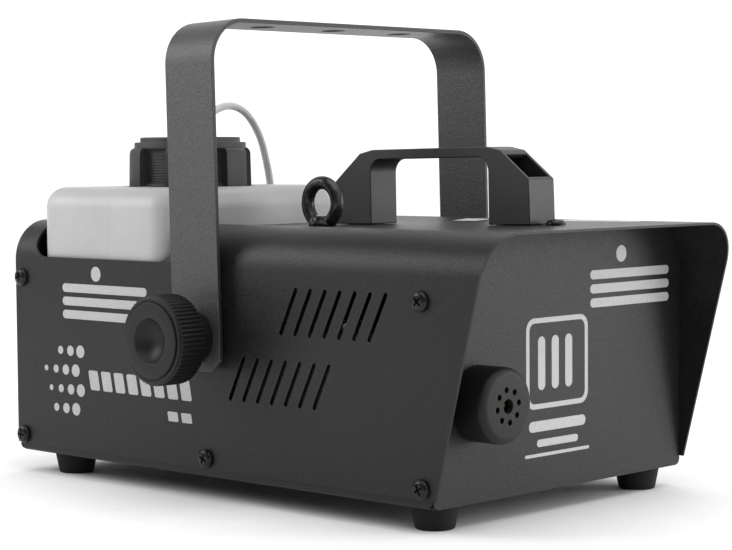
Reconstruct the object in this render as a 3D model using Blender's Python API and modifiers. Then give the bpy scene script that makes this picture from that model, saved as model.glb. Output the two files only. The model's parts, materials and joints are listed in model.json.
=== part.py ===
"""Fog machine: a sheet-steel case on rubber feet with a lift-out fluid tank, and a heater, pump and control
board inside. A carrying handle and a safety eyebolt stand on the cover, and a hanging yoke is held by two
clamp knobs.

Metres, +Z up. The nozzle faces -Y and the tank is at +Y. The origin is the centre of the whole object's box
in plan, at the lower faces of the feet.
"""

import math

import bmesh
import bpy
from mathutils import Matrix, Vector

# Case
CASE_WIDTH = 0.195
CASE_LENGTH = 0.310
CASE_HEIGHT = 0.1278
SHEET = 0.0012
GAP = 0.0003
COVER_BEND = 0.0216
COVER_SKIRT = 0.0046
HOOD_REACH = 0.0338
HOOD_REACH_LOW = 0.0019
TOP_SAG = 0.0019
SAG_FLAT = 0.053
SAG_RISE, SAG_END = 0.186, 0.288
REAR_REACH = 0.009
FOOT_HEIGHT = 0.0117
FOOT_RADIUS = 0.0116
LIP_HEIGHT = 0.016
FLANGE = 0.012

# Openings in the cover
BAY_FRONT, BAY_REAR = 0.180, 0.294
BAY_SIDE_HEIGHT = 0.1084
BAY_FAR_X = 0.0425
SLOT_WIDTH = 0.0024
SLOT_PITCH = 0.0099
SLOTS_IN_ROW = 7

# Tank and cap
TANK_LOW = (-0.0952, 0.188, 0.0605)
TANK_HIGH = (0.036, 0.2915, 0.1462)
TANK_ROUND = 0.011
TANK_WALL = 0.0018
CAP_SEAT = 0.0009
CAP_RADIUS = 0.0343
CAP_LOBES = 6

# Nozzle
NOZZLE_X, NOZZLE_Z = -0.066, 0.047
SHROUD_RADIUS, SHROUD_LENGTH = 0.018, 0.019

# Handle: ends measured back from the front panel
HANDLE_FRONT, HANDLE_REAR = 0.0137, 0.1470
HANDLE_WIDTH = 0.020
HANDLE_HEIGHT = 0.0388
HANDLE_WALL = 0.002

# Yoke and its knobs
PIVOT_Y, PIVOT_Z = 0.1531, 0.0721
YOKE_HALF_WIDTH = 0.1042
YOKE_STRIP = 0.0022
YOKE_WIDTH = 0.035
YOKE_TOP = 0.2313
YOKE_FOOT = 0.0548
YOKE_BEND = 0.022
YOKE_LEAN = math.radians(1.48)
KNOB_RADIUS = 0.0226
KNOB_BACK, KNOB_FACE = 0.1173, 0.1346

FRONT_Y = -(CASE_LENGTH + REAR_REACH - HOOD_REACH) / 2
HALF = CASE_WIDTH / 2
INSIDE = HALF - SHEET - GAP
TANK_X = (TANK_LOW[0] + TANK_HIGH[0]) / 2
TANK_Y = (TANK_LOW[1] + TANK_HIGH[1]) / 2
SIDES = (("left", -1), ("right", 1))


def at(x, y, z):
    """World point of x across, y back from the front panel's face, z above the base pan's underside."""
    return Vector((x, FRONT_Y + y, FOOT_HEIGHT + z))


# ---------------------------------------------------------------- scene and materials


def clear_scene():
    for old in list(bpy.data.objects):
        bpy.data.objects.remove(old, do_unlink=True)


def collection(name):
    made = bpy.data.collections.new(name)
    bpy.context.scene.collection.children.link(made)
    return made


def finish_of(name, colour, roughness, metallic=0.0, alpha=1.0):
    material = bpy.data.materials.new(name)
    material.use_nodes = True
    shader = material.node_tree.nodes["Principled BSDF"]
    shader.inputs["Base Color"].default_value = (*colour, 1.0)
    shader.inputs["Roughness"].default_value = roughness
    shader.inputs["Metallic"].default_value = metallic
    shader.inputs["Alpha"].default_value = alpha
    return material


clear_scene()
PARTS = collection("fog_machine")
CUTTERS = collection("cutters")

CASE_PAINT = finish_of("case_paint", (0.045, 0.045, 0.047), 0.55, 0.3)
YOKE_PAINT = finish_of("yoke_paint", (0.09, 0.09, 0.092), 0.5, 0.3)
BLACK_PLASTIC = finish_of("black_plastic", (0.03, 0.03, 0.031), 0.5)
BLACK_GLOSS = finish_of("black_gloss", (0.01, 0.01, 0.01), 0.2, 0.6)
RUBBER = finish_of("rubber", (0.02, 0.02, 0.02), 0.8)
TANK_PLASTIC = finish_of("tank_plastic", (0.8, 0.8, 0.8), 0.35, 0.0, 0.8)
CLEAR_TUBE = finish_of("clear_tube", (0.78, 0.78, 0.78), 0.25, 0.0, 0.6)
STEEL = finish_of("steel", (0.6, 0.6, 0.6), 0.3, 1.0)
ALUMINIUM = finish_of("aluminium", (0.7, 0.7, 0.7), 0.4, 1.0)
BRASS = finish_of("brass", (0.7, 0.55, 0.25), 0.3, 1.0)
WOOL = finish_of("wool", (0.7, 0.66, 0.58), 0.95)
BOARD = finish_of("board", (0.03, 0.12, 0.06), 0.5)
WHITE_PLASTIC = finish_of("white_plastic", (0.75, 0.75, 0.72), 0.45)


# ---------------------------------------------------------------- shape helpers


def add(name, mesh, material, hidden=False):
    """Links a mesh as a part, or as a hidden cutter."""
    made = bpy.data.objects.new(name, mesh)
    (CUTTERS if hidden else PARTS).objects.link(made)
    if hidden:
        made.hide_render = True
        made.display_type = "WIRE"
    if material:
        mesh.materials.append(material)
    return made


def mesh_of(bm, name):
    bmesh.ops.recalc_face_normals(bm, faces=bm.faces)
    mesh = bpy.data.meshes.new(name)
    bm.to_mesh(mesh)
    bm.free()
    return mesh


def smooth(obj, degrees=35):
    obj.data.shade_smooth()
    obj.data.set_sharp_from_angle(angle=math.radians(degrees))
    return obj


def block(name, low, high, material=None, hidden=False, bevel=0.0, segments=2):
    """A box between two case points, with an optional rounding of all its edges."""
    bm = bmesh.new()
    size = [b - a for a, b in zip(low, high)]
    centre = at(*[(a + b) / 2 for a, b in zip(low, high)])
    bmesh.ops.create_cube(bm, size=1.0)
    bmesh.ops.scale(bm, vec=size, verts=bm.verts)
    made = add(name, mesh_of(bm, name), material, hidden)
    made.location = centre
    if bevel:
        rounding = made.modifiers.new("edges", "BEVEL")
        rounding.width = bevel
        rounding.segments = segments
        smooth(made)
    return made


def aim(obj, start, direction):
    """Puts the object's origin at start with its local Z along direction."""
    turn = Vector((0, 0, 1)).rotation_difference(Vector(direction).normalized())
    obj.rotation_mode = "QUATERNION"
    obj.rotation_quaternion = turn
    obj.location = start
    return obj


def rod(name, start, end, radius, material=None, hidden=False, segments=24):
    """A plain cylinder between two world points."""
    length = (Vector(end) - Vector(start)).length
    bm = bmesh.new()
    bmesh.ops.create_cone(
        bm, cap_ends=True, segments=segments, radius1=radius, radius2=radius, depth=length
    )
    bmesh.ops.translate(bm, vec=(0, 0, length / 2), verts=bm.verts)
    made = add(name, mesh_of(bm, name), material, hidden)
    aim(made, start, Vector(end) - Vector(start))
    return smooth(made)


def turned(name, profile, start, direction, material=None, hidden=False, steps=32):
    """A turned shape. The profile is (radius, height) pairs: top, down the outside, to the bottom."""
    bm = bmesh.new()
    points = [bm.verts.new((radius, 0, height)) for radius, height in profile]
    for first, second in zip(points, points[1:]):
        bm.edges.new((first, second))
    if profile[0][0] > 0:
        bm.edges.new((points[-1], points[0]))
    mesh = bpy.data.meshes.new(name)
    bm.to_mesh(mesh)
    bm.free()
    made = add(name, mesh, material, hidden)
    screw = made.modifiers.new("turn", "SCREW")
    screw.steps = screw.render_steps = steps
    screw.use_merge_vertices = True
    screw.merge_threshold = 0.00005
    screw.use_smooth_shade = True
    return aim(made, start, direction)


def corner_path(corners, steps=6):
    """Points of a closed outline whose corners are (u, v, radius): each round corner becomes an arc."""
    points = []
    count = len(corners)
    for i, (u, v, radius) in enumerate(corners):
        here = Vector((u, v))
        if not radius:
            points.append(here)
            continue
        back = (Vector(corners[i - 1][:2]) - here).normalized()
        ahead = (Vector(corners[(i + 1) % count][:2]) - here).normalized()
        half_angle = back.angle(ahead) / 2
        centre = here + (back + ahead).normalized() * radius / math.sin(half_angle)
        first = here + back * radius / math.tan(half_angle) - centre
        sweep = (math.pi - 2 * half_angle) * (1 if ahead.cross(back) > 0 else -1)
        for k in range(steps + 1):
            points.append(centre + Matrix.Rotation(sweep * k / steps, 2) @ first)
    return points


def plate(name, outline, thickness, frame, material=None, hidden=False):
    """A flat outline of (u, v) points, extruded both ways from its plane, which frame places."""
    curve = bpy.data.curves.new(name, "CURVE")
    curve.dimensions = "2D"
    curve.fill_mode = "BOTH"
    curve.extrude = thickness / 2
    spline = curve.splines.new("POLY")
    spline.points.add(len(outline) - 1)
    for point, (u, v) in zip(spline.points, outline):
        point.co = (u, v, 0, 1)
    spline.use_cyclic_u = True
    guide = bpy.data.objects.new(name + "_guide", curve)
    CUTTERS.objects.link(guide)
    guide.matrix_world = frame
    bpy.context.view_layer.update()
    graph = bpy.context.evaluated_depsgraph_get()
    mesh = bpy.data.meshes.new_from_object(guide.evaluated_get(graph))
    bm = bmesh.new()
    bm.from_mesh(mesh)
    bmesh.ops.remove_doubles(bm, verts=bm.verts, dist=0.000005)
    bmesh.ops.recalc_face_normals(bm, faces=bm.faces)
    bm.to_mesh(mesh)
    bm.free()
    bpy.data.objects.remove(guide, do_unlink=True)
    mesh.name = name
    made = add(name, mesh, material, hidden)
    made.matrix_world = frame
    return made


def side_frame(x):
    """Frame of an outline drawn in case (y, z), whose normal is +X, at the given x."""
    origin = at(x, 0, 0)
    return Matrix(
        ((0, 0, 1, origin.x), (1, 0, 0, origin.y), (0, 1, 0, origin.z), (0, 0, 0, 1))
    )


def rear_frame(y):
    """Frame of an outline drawn in case (x, z), at the given distance back."""
    origin = at(0, y, 0)
    return Matrix(
        ((1, 0, 0, origin.x), (0, 0, -1, origin.y), (0, 1, 0, origin.z), (0, 0, 0, 1))
    )


def wire(name, points, radius, material, resolution=2):
    """A round tube or wire through world points, kept as a curve."""
    curve = bpy.data.curves.new(name, "CURVE")
    curve.dimensions = "3D"
    curve.bevel_depth = radius
    curve.bevel_resolution = resolution
    curve.use_fill_caps = True
    spline = curve.splines.new("POLY")
    spline.points.add(len(points) - 1)
    for slot, point in zip(spline.points, points):
        slot.co = (*point, 1)
    curve.materials.append(material)
    made = bpy.data.objects.new(name, curve)
    PARTS.objects.link(made)
    return made


def smooth_route(points, per_span):
    """A Catmull-Rom curve through the given points."""
    held = [points[0] * 2 - points[1], *points, points[-1] * 2 - points[-2]]
    route = []
    for a, b, c, d in zip(held, held[1:], held[2:], held[3:]):
        for k in range(per_span):
            t = k / per_span
            route.append(
                0.5
                * (
                    2 * b
                    + (c - a) * t
                    + (2 * a - 5 * b + 4 * c - d) * t**2
                    + (3 * b - a - 3 * c + d) * t**3
                )
            )
    return [*route, points[-1]]


def combine(obj, other, operation):
    step = obj.modifiers.new(operation.lower() + "_" + other.name, "BOOLEAN")
    step.operation = operation
    step.object = other
    step.solver = "EXACT"
    return obj


def cut(obj, *cutters):
    for cutter in cutters:
        combine(obj, cutter, "DIFFERENCE")
    return obj


def join(obj, *others):
    for other in others:
        combine(obj, other, "UNION")
    return obj


def ring_points(count, radius, offset=0.0):
    """(x, z) points evenly round a circle."""
    for k in range(count):
        angle = offset + 2 * math.pi * k / count
        yield radius * math.cos(angle), radius * math.sin(angle)


# ---------------------------------------------------------------- case shells


def hood_edge(z):
    """How far in front of the front panel the cover's edge stands at height z."""
    share = (z - COVER_SKIRT) / (CASE_HEIGHT - COVER_SKIRT)
    return HOOD_REACH_LOW + (HOOD_REACH - HOOD_REACH_LOW) * share


def sag(x, y):
    """How far the top panel dips at (x, y): nothing at the bends and the two ends, most before the bay."""
    across = (HALF - COVER_BEND - abs(x)) / (HALF - COVER_BEND - SAG_FLAT)
    falling = (y - HANDLE_FRONT) / (HANDLE_REAR - HANDLE_FRONT)
    rising = (SAG_END - y) / (SAG_END - SAG_RISE)
    return TOP_SAG * max(0.0, min(1.0, across)) * max(0.0, min(1.0, falling, rising))


def cover_profile():
    """(x, z) along the cover's outer face, from its left lower edge over the top to the right one."""
    bend_steps = 8
    left = [(-HALF, COVER_SKIRT), (-HALF, 0.060)]
    for k in range(bend_steps + 1):
        angle = math.pi / 2 * k / bend_steps
        x = -HALF + COVER_BEND * (1 - math.cos(angle))
        left.append((x, CASE_HEIGHT - COVER_BEND * (1 - math.sin(angle))))
    top = [(-SAG_FLAT, CASE_HEIGHT), (SAG_FLAT, CASE_HEIGHT)]
    return left + top + [(-x, z) for x, z in reversed(left)]


def cover_skin():
    """The cover's outer face, drawn out along the case from the slanted hood edge to the rear."""
    bm = bmesh.new()
    profile = cover_profile()
    verts = [bm.verts.new(at(x, -hood_edge(z), z)) for x, z in profile]
    edges = [bm.edges.new(pair) for pair in zip(verts, verts[1:])]
    for y in (HANDLE_FRONT, HANDLE_REAR, SAG_RISE, SAG_END, CASE_LENGTH):
        made = bmesh.ops.extrude_edge_only(bm, edges=edges)["geom"]
        edges = [item for item in made if isinstance(item, bmesh.types.BMEdge)]
        new = {vert for edge in edges for vert in edge.verts}
        for vert in new:
            vert.co.y = FRONT_Y + y
    for vert in bm.verts:
        if vert.co.z > FOOT_HEIGHT + CASE_HEIGHT - 0.00001:
            vert.co.z -= sag(vert.co.x, vert.co.y - FRONT_Y)
    bmesh.ops.recalc_face_normals(bm, faces=bm.faces)
    bm.faces.ensure_lookup_table()
    middle = max(bm.faces, key=lambda face: face.calc_center_median().z)
    if middle.normal.z < 0:
        bmesh.ops.reverse_faces(bm, faces=bm.faces)
    mesh = bpy.data.meshes.new("cover")
    bm.to_mesh(mesh)
    bm.free()
    return mesh


def slot_outline(top, bottom):
    """A round-ended slanted slot between the centres of its two end arcs, in (y, z)."""
    top, bottom = Vector(top), Vector(bottom)
    along = (top - bottom).normalized()
    first = Vector((along.y, -along.x)) * SLOT_WIDTH / 2
    outline = []
    for centre, start in ((top, 0), (bottom, math.pi)):
        for k in range(4):
            outline.append(centre + Matrix.Rotation(start + math.pi * k / 3, 2) @ first)
    return outline


def louvre_cutters():
    """Two rows of slanted slots, cut through both side walls at once."""
    rows = (((0.0285, 0.0979), (0.0391, 0.0766)), ((0.0658, 0.0622), (0.0759, 0.0418)))
    made = []
    for row, (top, bottom) in enumerate(rows):
        for k in range(SLOTS_IN_ROW):
            step = SLOT_PITCH * k
            outline = slot_outline((top[0] + step, top[1]), (bottom[0] + step, bottom[1]))
            name = f"slot_cutter_{row}_{k}"
            made.append(plate(name, outline, CASE_WIDTH + 0.02, side_frame(0), hidden=True))
    return made


SIDE_SCREWS = (
    ("front_top", 0.0065, 0.0960),
    ("front_low", 0.0065, 0.0095),
    ("middle", 0.1536, 0.0098),
    ("rear_top", 0.3042, 0.0965),
    ("rear_low", 0.3042, 0.0092),
)
TOP_SCREW_Y = 0.0055
EYEBOLT = (-0.044, 0.1225)
TUBE_HOLE = (0.0500, 0.2570)
HANDLE_SCREWS = (0.027, 0.1335)
SCREW_HOLE = 0.0021


def make_cover():
    cover = add("cover", cover_skin(), CASE_PAINT)
    wall = cover.modifiers.new("sheet", "SOLIDIFY")
    wall.thickness = SHEET
    wall.offset = -1
    wall.use_even_offset = True
    bay = [
        (BAY_FRONT, BAY_SIDE_HEIGHT, 0.010),
        (BAY_REAR, BAY_SIDE_HEIGHT, 0.010),
        (BAY_REAR, 0.2, 0),
        (BAY_FRONT, 0.2, 0),
    ]
    left = -HALF - 0.01
    width = BAY_FAR_X - left
    middle = (BAY_FAR_X + left) / 2
    cut(cover, plate("bay_cutter", corner_path(bay), width, side_frame(middle), hidden=True))
    cut(cover, *louvre_cutters())
    for name, y, z in SIDE_SCREWS:
        ends = at(-HALF - 0.01, y, z), at(HALF + 0.01, y, z)
        cut(cover, rod("hole_" + name, *ends, SCREW_HOLE, hidden=True, segments=10))
    ends = at(-HALF - 0.01, PIVOT_Y, PIVOT_Z), at(HALF + 0.01, PIVOT_Y, PIVOT_Z)
    cut(cover, rod("pivot_hole", *ends, 0.0044, hidden=True, segments=16))
    holes = [
        ("top_screw_hole", 0, TOP_SCREW_Y, SCREW_HOLE),
        ("eyebolt_hole", *EYEBOLT, 0.0034),
        ("tube_hole", *TUBE_HOLE, 0.0054),
        *[(f"handle_hole_{y:.3f}", 0, y, SCREW_HOLE) for y in HANDLE_SCREWS],
    ]
    for name, x, y, radius in holes:
        ends = at(x, y, 0.100), at(x, y, 0.150)
        cut(cover, rod(name, *ends, radius, hidden=True, segments=14))
    return smooth(cover)


def make_base_pan():
    """Flat bottom with an upturned lip along each side."""
    front, rear = SHEET + GAP, CASE_LENGTH - SHEET - GAP
    pan = block("base_pan", (-INSIDE, front, 0), (INSIDE, rear, SHEET), CASE_PAINT)
    for name, side in SIDES:
        edges = sorted((side * INSIDE, side * (INSIDE - SHEET)))
        low = (edges[0], front, 0)
        high = (edges[1], rear, LIP_HEIGHT)
        join(pan, block("pan_lip_" + name, low, high, hidden=True))
    for name, y, z in SIDE_SCREWS:
        if z < LIP_HEIGHT:
            ends = at(-HALF - 0.01, y, z), at(HALF + 0.01, y, z)
            cut(pan, rod("pan_hole_" + name, *ends, SCREW_HOLE, hidden=True, segments=10))
    for x, y in foot_places():
        ends = at(x, y, -0.005), at(x, y, 0.005)
        cut(pan, rod(f"pan_foot_hole_{x:.3f}_{y:.3f}", *ends, 0.0026, hidden=True, segments=12))
    return pan


def end_panel_outline():
    """The front and rear panels' outline in (x, z): it follows the cover's bends with a small gap."""
    top = CASE_HEIGHT - SHEET - GAP
    bend = COVER_BEND - SHEET - GAP
    return corner_path(
        [
            (-INSIDE, 0, 0.0035),
            (INSIDE, 0, 0.0035),
            (INSIDE, top, bend),
            (-INSIDE, top, bend),
        ]
    )


def make_end_panel(end, y, inward):
    """A panel with its outer face at y and flanges that the cover's screws bite into."""
    name = end + "_panel"
    panel = plate(name, end_panel_outline(), SHEET, rear_frame(y + inward * SHEET / 2), CASE_PAINT)
    reach = sorted((y + inward * SHEET / 2, y + inward * FLANGE))
    for side_name, side in SIDES:
        edges = sorted((side * INSIDE, side * (INSIDE - SHEET)))
        low = (edges[0], reach[0], LIP_HEIGHT + 0.002)
        high = (edges[1], reach[1], CASE_HEIGHT - COVER_BEND - 0.002)
        join(panel, block(f"{name}_flange_{side_name}", low, high, hidden=True))
    for screw, screw_y, z in SIDE_SCREWS:
        if screw == end + "_top":
            ends = at(-HALF, screw_y, z), at(HALF, screw_y, z)
            cut(panel, rod(f"{name}_hole", *ends, SCREW_HOLE, hidden=True, segments=10))
    return panel


def make_front_panel():
    panel = make_end_panel("front", 0, 1)
    top = CASE_HEIGHT - SHEET - GAP
    low, high = (-0.060, SHEET / 2, top - SHEET), (0.060, 0.0125, top)
    join(panel, block("front_panel_top_flange", low, high, hidden=True))
    ends = at(0, TOP_SCREW_Y, 0.110), at(0, TOP_SCREW_Y, 0.140)
    cut(panel, rod("front_panel_top_hole", *ends, SCREW_HOLE, hidden=True, segments=10))
    ends = at(NOZZLE_X, -0.01, NOZZLE_Z), at(NOZZLE_X, 0.01, NOZZLE_Z)
    return cut(panel, rod("nozzle_hole", *ends, 0.010, hidden=True))


# Places on the rear panel: centre x, centre z, width, height
INLET = (0.066, 0.036, 0.0280, 0.0220)
SWITCH = (0.066, 0.074, 0.0190, 0.0130)
REMOTE = (0.066, 0.103)
REMOTE_RADIUS = 0.0075
FUSE = (0.026, 0.036)
FUSE_RADIUS = 0.0062


def make_rear_panel():
    panel = make_end_panel("rear", CASE_LENGTH, -1)
    for name, (x, z, width, height) in (("inlet", INLET), ("switch", SWITCH)):
        low = (x - width / 2, CASE_LENGTH - 0.01, z - height / 2)
        high = (x + width / 2, CASE_LENGTH + 0.01, z + height / 2)
        cut(panel, block(f"rear_{name}_hole", low, high, hidden=True))
    for name, (x, z), radius in (("remote", REMOTE, REMOTE_RADIUS), ("fuse", FUSE, FUSE_RADIUS)):
        ends = at(x, CASE_LENGTH - 0.01, z), at(x, CASE_LENGTH + 0.01, z)
        cut(panel, rod(f"rear_{name}_hole", *ends, radius + GAP, hidden=True))
    return panel


def make_tank_tray():
    """The bay's lining: a bulkhead in front of the tank, a shelf under it and a wall beside it."""
    side, top = INSIDE - 0.0015, CASE_HEIGHT - SHEET - TOP_SAG - 0.0010
    bend = COVER_BEND - SHEET - 0.0018
    corners = [(-side, 0.0020, 0), (side, 0.0020, 0), (side, top, bend), (-side, top, bend)]
    outline = corner_path(corners)
    front = BAY_FRONT + 0.003
    tray = plate("tank_tray", outline, SHEET, rear_frame(front + SHEET / 2), CASE_PAINT)
    shelf_top = TANK_LOW[2] - GAP
    rear = CASE_LENGTH - SHEET - 0.0016
    wall_x = BAY_FAR_X + 0.0005
    shelf = (-side, front + SHEET / 2, shelf_top - SHEET), (wall_x + SHEET, rear, shelf_top)
    wall = (wall_x, front + SHEET / 2, shelf_top - SHEET), (wall_x + SHEET, rear, top)
    join(tray, block("tray_shelf", *shelf, hidden=True), block("tray_wall", *wall, hidden=True))
    x = TUBE_HOLE[0] + 0.022
    ends = at(x, front - 0.01, 0.085), at(x, front + 0.01, 0.085)
    return cut(tray, rod("tray_tube_hole", *ends, 0.006, hidden=True, segments=16))


# ---------------------------------------------------------------- feet, screws and fittings


def foot_places():
    return [(x, y) for y in (0.015, 0.282) for x in (-0.079, 0.079)]


def make_feet():
    for (x, y), name in zip(foot_places(), ("front_left", "front_right", "rear_left", "rear_right")):
        stem = 0.0022
        profile = [
            (0, FOOT_HEIGHT + 0.0035),
            (stem + 0.0008, FOOT_HEIGHT + 0.0035),
            (stem + 0.0014, FOOT_HEIGHT + 0.0016),
            (stem, FOOT_HEIGHT + 0.0016),
            (stem, FOOT_HEIGHT - GAP),
            (FOOT_RADIUS - 0.0006, FOOT_HEIGHT - GAP),
            (FOOT_RADIUS, FOOT_HEIGHT - GAP - 0.0008),
            (FOOT_RADIUS - 0.0020, 0.0008),
            (FOOT_RADIUS - 0.0028, 0),
            (0, 0),
        ]
        turned("foot_" + name, profile, at(x, y, -FOOT_HEIGHT), (0, 0, 1), RUBBER, steps=16)


def screw_profile(head, tall, shank, length):
    """A domed head above height 0 and a plain shank below it."""
    return [
        (0, tall),
        (head * 0.62, tall * 0.86),
        (head, tall * 0.25),
        (head, 0),
        (shank, 0),
        (shank, -length),
        (0, -length),
    ]


def make_cover_screws():
    profile = screw_profile(0.0049, 0.0027, 0.0018, 0.0055)
    for side_name, side in SIDES:
        for name, y, z in SIDE_SCREWS:
            start = at(side * (HALF + GAP), y, z)
            turned(f"cover_screw_{side_name}_{name}", profile, start, (side, 0, 0), BLACK_GLOSS, steps=10)
    start = at(0, TOP_SCREW_Y, CASE_HEIGHT + GAP)
    turned("cover_screw_top", profile, start, (0, 0, 1), BLACK_GLOSS, steps=12)


def handle_slope():
    """The top panel's fall from the handle's front foot to its rear one, as an angle."""
    return math.atan2(TOP_SAG, HANDLE_REAR - HANDLE_FRONT)


def handle_frame(x=0.0):
    """Frame of the handle's side outline: u runs back from the front foot, v up from the top panel."""
    origin = at(x, HANDLE_FRONT, CASE_HEIGHT + GAP)
    turn = Matrix.Rotation(-handle_slope(), 4, "X")
    axes = Matrix(((0, 0, 1, 0), (1, 0, 0, 0), (0, 1, 0, 0), (0, 0, 0, 1)))
    return Matrix.Translation(origin) @ turn @ axes


def make_handle():
    """A hollow moulding: two side plates, end walls, a grip bar, and legs left open along their slopes."""
    length = HANDLE_REAR - HANDLE_FRONT
    top, grip_top, slope_foot, slope_run, leg = HANDLE_HEIGHT, 0.0337, 0.0225, 0.0188, 0.0265
    outline = [
        (0, 0, 0),
        (length, 0, 0),
        (length - 0.0006, slope_foot, 0),
        (length - slope_run, top - 0.0018, 0.003),
        (length - slope_run - 0.009, top, 0.012),
        (slope_run + 0.009, top, 0.012),
        (slope_run, top - 0.0018, 0.003),
        (0.0006, slope_foot, 0),
    ]
    handle = plate("handle", corner_path(outline, 3), HANDLE_WIDTH, handle_frame(), BLACK_PLASTIC)
    grip = [
        (leg, -0.01, 0),
        (length - leg, -0.01, 0),
        (length - leg, grip_top, 0.007),
        (leg, grip_top, 0.007),
    ]
    cut(handle, plate("grip_cutter", corner_path(grip), 0.05, handle_frame(), hidden=True))
    near, far = HANDLE_WALL, leg - HANDLE_WALL
    pocket = [
        (near, 0.003),
        (far, 0.003),
        (far, 0.031),
        (0.0175, 0.0335),
        (0.0115, 0.041),
        (near, 0.041),
    ]
    pockets = {"front": pocket, "rear": [(length - u, v) for u, v in reversed(pocket)]}
    for y, (name, outline) in zip(HANDLE_SCREWS, pockets.items()):
        inner = HANDLE_WIDTH - 2 * HANDLE_WALL
        cut(handle, plate(f"{name}_pocket", outline, inner, handle_frame(), hidden=True))
        ends = at(0, y, 0.115), at(0, y, 0.1335)
        cut(handle, rod(f"handle_bore_{name}", *ends, SCREW_HOLE, hidden=True, segments=12))
    return smooth(handle)


def make_handle_screws():
    """Screws up through the top panel into the handle's legs."""
    profile = screw_profile(0.0036, 0.0022, 0.0017, 0.0045)
    for name, y in zip(("front", "rear"), HANDLE_SCREWS):
        under = CASE_HEIGHT - sag(0, y) - SHEET - GAP - 0.0001
        turned("handle_screw_" + name, profile, at(0, y, under), (0, 0, -1), BLACK_GLOSS, steps=10)


def make_eyebolt():
    """Ring in the plane of Y and Z on a collar, with a shank through the top panel."""
    x, y = EYEBOLT
    seat = CASE_HEIGHT - sag(x, y) + GAP
    ring, thickness = 0.0105, 0.0034
    profile = [
        (0, 0.0052),
        (0.0044, 0.0052),
        (0.0058, 0.0024),
        (0.0072, 0.0020),
        (0.0072, 0),
        (0.0030, 0),
        (0.0030, -0.0090),
        (0, -0.0090),
    ]
    bolt = turned("eyebolt", profile, at(x, y, seat), (0, 0, 1), BLACK_GLOSS, steps=20)
    profile = [
        (ring + thickness * math.cos(-math.pi * k / 5), thickness * math.sin(-math.pi * k / 5))
        for k in range(10)
    ]
    centre = at(x, y, seat + 0.0118)
    eye = turned("eyebolt_ring", profile, centre, (1, 0, 0), hidden=True, steps=20)
    low, high = (x - 0.02, y - 0.02, seat - 0.01), (x + 0.02, y + 0.02, seat + 0.0001)
    return join(bolt, cut(eye, block("eyebolt_ring_base", low, high, hidden=True)))


def make_eyebolt_nut():
    x, y = EYEBOLT
    top = CASE_HEIGHT - sag(x, y) - SHEET - GAP
    nut = rod("eyebolt_nut", at(x, y, top - 0.005), at(x, y, top - 0.0002), 0.0056, STEEL, segments=6)
    ends = at(x, y, top - 0.01), at(x, y, top + 0.005)
    return cut(nut, rod("eyebolt_nut_bore", *ends, 0.0030 + GAP, hidden=True, segments=20))


# ---------------------------------------------------------------- nozzle, heater and pump


def make_nozzle_shroud():
    """A cup over the nozzle, open at the panel, with one large hole in its face and a ring of small ones."""
    wall, edge = 0.0020, 0.0016
    length = SHROUD_LENGTH - GAP
    profile = [
        (0, length),
        (SHROUD_RADIUS - edge, length),
        (SHROUD_RADIUS - edge * 0.3, length - edge * 0.3),
        (SHROUD_RADIUS, length - edge),
        (SHROUD_RADIUS, 0),
        (SHROUD_RADIUS - wall, 0),
        (SHROUD_RADIUS - wall, length - 0.003),
        (0, length - 0.003),
    ]
    start = at(NOZZLE_X, -GAP, NOZZLE_Z)
    shroud = turned("nozzle_shroud", profile, start, (0, -1, 0), BLACK_PLASTIC, steps=32)
    ends = at(NOZZLE_X, -0.03, NOZZLE_Z), at(NOZZLE_X, -0.010, NOZZLE_Z)
    cut(shroud, rod("shroud_bore", *ends, 0.00335, hidden=True, segments=14))
    for k, (x, z) in enumerate(ring_points(8, 0.0077, math.radians(8.7))):
        ends = at(NOZZLE_X + x, -0.03, NOZZLE_Z + z), at(NOZZLE_X + x, -0.010, NOZZLE_Z + z)
        cut(shroud, rod(f"shroud_vent_{k}", *ends, 0.00133, hidden=True, segments=8))
    return shroud


HEATER_LOW = (-0.0880, 0.0140, 0.0220)
HEATER_HIGH = (-0.0440, 0.1440, 0.0720)
JACKET = 0.0035


def make_heater():
    block("heater_block", HEATER_LOW, HEATER_HIGH, ALUMINIUM, bevel=0.003)
    grow = [JACKET + GAP, -0.006, JACKET + GAP]
    low = [a - g for a, g in zip(HEATER_LOW, grow)]
    high = [b + g for b, g in zip(HEATER_HIGH, grow)]
    jacket = block("heater_jacket", low, high, WOOL)
    grow = [GAP, 0.02, GAP]
    low = [a - g for a, g in zip(HEATER_LOW, grow)]
    high = [b + g for b, g in zip(HEATER_HIGH, grow)]
    cut(jacket, block("jacket_bore", low, high, hidden=True))
    centre = (HEATER_LOW[0] + HEATER_HIGH[0]) / 2
    top = HEATER_HIGH[2]
    ends = at(centre, 0.080, top - 0.002), at(centre, 0.080, top + 0.02)
    cut(jacket, rod("jacket_window", *ends, 0.0092, hidden=True, segments=20))
    profile = [
        (0, 0.0090),
        (0.0070, 0.0090),
        (0.0075, 0.0085),
        (0.0075, 0.0030),
        (0.0082, 0.0028),
        (0.0082, 0),
        (0, 0),
    ]
    turned("thermostat", profile, at(centre, 0.080, top + GAP), (0, 0, 1), STEEL, steps=20)
    for name, y in (("front", 0.0300), ("rear", 0.1220)):
        low = (HEATER_LOW[0] + 0.004, y, SHEET + GAP)
        high = (HEATER_HIGH[0] - 0.004, y + 0.012, SHEET + GAP + SHEET)
        bracket = block("heater_bracket_" + name, low, high, STEEL)
        web = (low[0], y, low[2]), (high[0], y + SHEET, HEATER_LOW[2] - JACKET - 2 * GAP)
        shelf = (low[0], y, web[1][2] - SHEET), (high[0], y + 0.012, web[1][2])
        join(bracket, block(f"bracket_web_{name}", *web, hidden=True))
        join(bracket, block(f"bracket_shelf_{name}", *shelf, hidden=True))


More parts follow.
